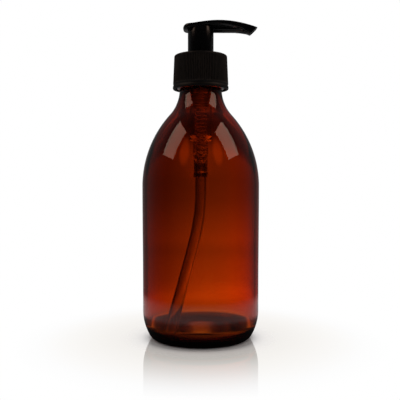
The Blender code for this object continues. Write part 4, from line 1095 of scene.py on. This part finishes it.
def make_floor(settings):
    """A pale floor: one flat square, level with the base, whose finish depends on the radius.

    From the middle out it has a painted contact shadow, then a polished stretch
    with a painted warm reflection on it, then a white one that thins out. Every
    ray but the camera's sees a painted glow instead, darkest near the base.
    """
    half = FLOOR_HALF
    mesh = bpy.data.meshes.new("pale_floor")
    corners = [(-half, -half, 0.0), (half, -half, 0.0), (half, half, 0.0), (-half, half, 0.0)]
    mesh.from_pydata(corners, [], [(0, 1, 2, 3)])
    floor = bpy.data.objects.new("pale_floor", mesh)
    bpy.context.scene.collection.objects.link(floor)
    material = bpy.data.materials.new("pale_floor")
    material.use_nodes = True
    tree = material.node_tree
    tree.nodes.remove(tree.nodes["Principled BSDF"])
    distance = from_middle(tree)
    lit = tree.nodes.new("ShaderNodeBsdfDiffuse")
    # The diffuse colour is a painted contact shadow, dark under the bottle.
    tree.links.new(color_stops(tree, distance, FLOOR_PAINTED_SHADOW_STOPS), lit.inputs["Color"])
    glow = tree.nodes.new("ShaderNodeEmission")
    # The glow is tinted warm near the bottle: a painted reflection of the amber glass.
    painted_reflection_tint = tree.nodes.new("ShaderNodeMix")
    painted_reflection_tint.data_type = "RGBA"
    painted_reflection_tint.inputs["A"].default_value = FLOOR_PAINTED_REFLECTION_TINT
    painted_reflection_tint.inputs["B"].default_value = (1.0, 1.0, 1.0, 1.0)
    tree.links.new(ramp(tree, distance, 0.0, 1.0, *PAINTED_REFLECTION_SPAN), painted_reflection_tint.inputs["Factor"])
    tree.links.new(painted_reflection_tint.outputs["Result"], glow.inputs["Color"])
    polish = tree.nodes.new("ShaderNodeBsdfGlossy")
    polish.inputs["Roughness"].default_value = 0.0
    clear = tree.nodes.new("ShaderNodeBsdfTransparent")
    shadow = ramp(tree, distance, 0.0, 1.0, SHADOW_START, settings.shadow_reach)
    surface = mixed(tree, shadow, lit.outputs["BSDF"], glow.outputs["Emission"])
    surface = mixed(tree, color_stops(tree, distance, FLOOR_POLISH_STOPS), surface, polish.outputs["BSDF"])
    # Every ray but the camera's sees this painted glow: dark near the base, brighter outwards.
    painted_glow = tree.nodes.new("ShaderNodeEmission")
    tree.links.new(color_stops(tree, distance, FLOOR_PAINTED_GLOW_STOPS), painted_glow.inputs["Color"])
    path = tree.nodes.new("ShaderNodeLightPath")
    surface = mixed(tree, path.outputs["Is Camera Ray"], painted_glow.outputs["Emission"], surface)
    thin = ramp(tree, distance, 0.0, 1.0, *FADE_SPAN)
    surface = mixed(tree, thin, surface, clear.outputs["BSDF"])
    tree.links.new(surface, tree.nodes["Material Output"].inputs["Surface"])
    floor.data.materials.append(material)


def add_light(name, place, target, size, power, color):
    """A rectangular soft light that faces a point."""
    data = bpy.data.lights.new(name, "AREA")
    data.shape = "RECTANGLE"
    data.size, data.size_y = size
    data.energy = power
    data.color = color
    light = bpy.data.objects.new(name, data)
    bpy.context.scene.collection.objects.link(light)
    place = np.array(place)
    back = place - np.array(target)
    back = back / np.linalg.norm(back)
    across = np.cross((0.0, 0.0, 1.0), back)
    across = across / np.linalg.norm(across)
    rise = np.cross(back, across)
    turn = np.stack([across, rise, back], axis=1)
    matrix = np.eye(4)
    matrix[:3, :3] = turn
    matrix[:3, 3] = place
    light.matrix_world = Matrix(matrix.tolist())


def color_stops(tree, source, stops):
    """A grey value that runs through (place, value) stops, from the first place to the last."""
    first, last = stops[0][0], stops[-1][0]
    node = tree.nodes.new("ShaderNodeValToRGB")
    elements = node.color_ramp.elements
    for place, _value in stops[1:-1]:
        elements.new((place - first) / (last - first))
    for element, (_place, value) in zip(elements, stops):
        element.color = (value, value, value, 1.0)
    tree.links.new(ramp(tree, source, 0.0, 1.0, first, last), node.inputs["Fac"])
    return node.outputs["Color"]


def combined(tree, operation, *values):
    """Result of a Math node on values or sockets."""
    node = tree.nodes.new("ShaderNodeMath")
    node.operation = operation
    for value, socket in zip(values, node.inputs):
        if isinstance(value, float):
            socket.default_value = value
        else:
            tree.links.new(value, socket)
    return node.outputs["Value"]


def chosen(tree, factor, low, high):
    """The first value where the factor is 0, the second where it is 1."""
    node = tree.nodes.new("ShaderNodeMix")
    tree.links.new(factor, node.inputs["Factor"])
    for value, name in ((low, "A"), (high, "B")):
        if isinstance(value, float):
            node.inputs[name].default_value = value
        else:
            tree.links.new(value, node.inputs[name])
    return node.outputs["Result"]


def squared_offset(tree, value, middle, half):
    """The square of a value's distance from a middle, over half a width."""
    share = combined(tree, "DIVIDE", combined(tree, "SUBTRACT", value, middle), half)
    return combined(tree, "POWER", combined(tree, "ABSOLUTE", share), 2.0)


def shoulder_lamps(tree, parts):
    """Light of two soft oval lamps, mirrored about a line near the bottle's axis."""
    aside = combined(tree, "ABSOLUTE", combined(tree, "SUBTRACT", parts.outputs["X"], LAMP_MIDDLE))
    off = combined(tree, "ADD", squared_offset(tree, aside, LAMP_ASIDE, LAMP_HALF_WIDTH),
                   squared_offset(tree, parts.outputs["Z"], LAMP_HEIGHT, LAMP_HALF_HEIGHT))
    return ramp(tree, off, LAMP_LIGHT, 0.0, LAMP_CORE, 1.0)


def make_world(settings):
    """A white surround with a dim studio in it, which only glass and gloss show.

    Through the glass the surround is brighter low down and a little to the
    right, with a soft lamp either side behind the shoulders. Gloss shows a dim
    room, paler towards the back.
    """
    world = bpy.data.worlds.new("white_surround")
    world.use_nodes = True
    world.cycles.sampling_method = "NONE"
    tree = world.node_tree
    direction = tree.nodes.new("ShaderNodeTexCoord")
    parts = tree.nodes.new("ShaderNodeSeparateXYZ")
    tree.links.new(direction.outputs["Generated"], parts.inputs["Vector"])
    through = color_stops(tree, parts.outputs["Z"], THROUGH_STOPS)
    through = combined(tree, "MULTIPLY", through, color_stops(tree, parts.outputs["X"], SIDE_STOPS))
    through = combined(tree, "ADD", through, shoulder_lamps(tree, parts))
    gloss = color_stops(tree, parts.outputs["Y"], GLOSS_STOPS)
    path = tree.nodes.new("ShaderNodeLightPath")
    light = chosen(tree, path.outputs["Is Glossy Ray"], settings.world_strength, gloss)
    light = chosen(tree, path.outputs["Is Transmission Ray"], light, through)
    light = chosen(tree, path.outputs["Is Singular Ray"], light, 1.0)
    light = chosen(tree, path.outputs["Is Camera Ray"], light, 1.0)
    background = tree.nodes["Background"]
    background.inputs["Color"].default_value = (1.0, 1.0, 1.0, 1.0)
    tree.links.new(light, background.inputs["Strength"])
    bpy.context.scene.world = world


def make_camera(settings):
    """The camera looks along +Y, a little down, at the height of the bottle's middle."""
    data = bpy.data.cameras.new("camera")
    data.lens = settings.lens
    data.sensor_width = SENSOR_WIDTH
    camera = bpy.data.objects.new("camera", data)
    bpy.context.scene.collection.objects.link(camera)
    camera.location = (CAMERA_X, -settings.distance, settings.height)
    camera.rotation_euler = (math.radians(90 - CAMERA_DIP), 0.0, 0.0)
    bpy.context.scene.camera = camera


# ------------------------------------------------------------------- operators
class DISPENSER_OT_stage(bpy.types.Operator):
    """Add the floor, the lights, the surround and the camera"""
    bl_idname = "dispenser.stage"
    bl_label = "Stage"

    def execute(self, context):
        settings = context.scene.dispenser_stage
        make_floor(settings)
        make_world(settings)
        for name, side, power in (("left_softbox", -1, 1.1), ("right_softbox", 1, 1.2)):
            place = (side * SOFTBOX_PLACE[0], *SOFTBOX_PLACE[1:])
            add_light(name, place, SOFTBOX_AIM, SOFTBOX_SIZE, power, SOFTBOX_COLOR)
        make_camera(settings)
        context.scene.view_settings.view_transform = "Standard"
        return {"FINISHED"}


class DISPENSER_OT_bottle(bpy.types.Operator):
    """Build the amber glass bottle"""
    bl_idname = "dispenser.bottle"
    bl_label = "Glass bottle"

    def execute(self, context):
        settings = context.scene.dispenser_bottle
        finish_piece(make_bottle(settings), "bottle", amber_glass(settings), "amber_glass", "bottle")
        return {"FINISHED"}


class DISPENSER_OT_collar(bpy.types.Operator):
    """Build the ribbed screw collar"""
    bl_idname = "dispenser.collar"
    bl_label = "Screw collar"

    def execute(self, context):
        settings = context.scene.dispenser_collar
        collar = make_collar(settings, context.scene.dispenser_bottle)
        finish_piece(collar, "collar", satin_black(settings), "matte_black", "collar")
        return {"FINISHED"}


class DISPENSER_OT_head(bpy.types.Operator):
    """Build the pump head: thumb plate, spout, skirt and the guide ring under it"""
    bl_idname = "dispenser.head"
    bl_label = "Pump head"

    def execute(self, context):
        settings = context.scene.dispenser_head
        black = polished_black(settings)
        finish_piece(make_spout(settings), "head", black, "gloss_black", "head")
        finish_piece(make_skirt(), "head", black, "gloss_black", "head")
        finish_piece(make_lock_ring(), "pump_body", black, "gloss_black", "lock_ring")
        return {"FINISHED"}


class DISPENSER_OT_pump(bpy.types.Operator):
    """Build the housing, gasket, dip tube, valve ball, spring, stem and piston"""
    bl_idname = "dispenser.pump"
    bl_label = "Pump inside"

    def execute(self, context):
        pump = context.scene.dispenser_pump
        bottle = context.scene.dispenser_bottle
        natural = natural_plastic(pump)
        clear = natural_plastic(pump, "clear_tube")
        seal = soft_seal()
        finish_piece(make_housing(pump), "pump_body", natural, "natural_plastic", "housing")
        finish_piece(make_dip_tube(bottle, pump), "pump_body", clear, "natural_plastic", "dip_tube")
        finish_piece(make_gasket(), "pump_body", seal, "soft_seal", "gasket")
        ball = drawn_steel("polished_ball", 0.06, 0.14, 0.002)
        finish_piece(make_ball(), "inlet_ball", ball, "ball_steel", "inlet_ball")
        wire = drawn_steel("spring_wire", 0.2, 0.34, 0.01)
        spring = finish_piece(make_spring(pump), "pump_body", wire, "spring_steel", "spring")
        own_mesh(spring)
        finish_piece(make_stem(), "plunger", natural, "natural_plastic", "stem")
        finish_piece(make_piston(), "piston", seal, "soft_seal", "piston")
        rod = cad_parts["piston_rod"]
        rod.data.materials.clear()
        rod.data.materials.append(natural)
        return {"FINISHED"}


class DISPENSER_PT_panel(bpy.types.Panel):
    """Lists the settings and the pieces of the dispenser"""
    bl_idname = "DISPENSER_PT_panel"
    bl_label = "Soap dispenser"
    bl_space_type = "VIEW_3D"
    bl_region_type = "UI"
    bl_category = "Dispenser"

    def draw(self, context):
        layout = self.layout
        for operator in OPERATORS:
            layout.operator(operator.bl_idname)
        for name, group in SETTINGS.items():
            box = layout.box()
            for key in group.__annotations__:
                box.prop(getattr(context.scene, name), key)


OPERATORS = (
    DISPENSER_OT_stage, DISPENSER_OT_bottle, DISPENSER_OT_collar, DISPENSER_OT_head, DISPENSER_OT_pump,
)
CLASSES = (*SETTINGS.values(), *OPERATORS, DISPENSER_PT_panel)


def register():
    """Register every class and hang the settings on the scene."""
    for cls in CLASSES:
        bpy.utils.register_class(cls)
    for name, group in SETTINGS.items():
        setattr(bpy.types.Scene, name, PointerProperty(type=group))


def unregister():
    """Take the settings off the scene and unregister every class."""
    for name in SETTINGS:
        delattr(bpy.types.Scene, name)
    for cls in reversed(CLASSES):
        bpy.utils.unregister_class(cls)


def main():
    """Build every piece in order."""
    register()
    bpy.ops.dispenser.stage()
    bpy.ops.dispenser.bottle()
    bpy.ops.dispenser.collar()
    bpy.ops.dispenser.head()
    bpy.ops.dispenser.pump()


if __name__ == "__main__":
    main()
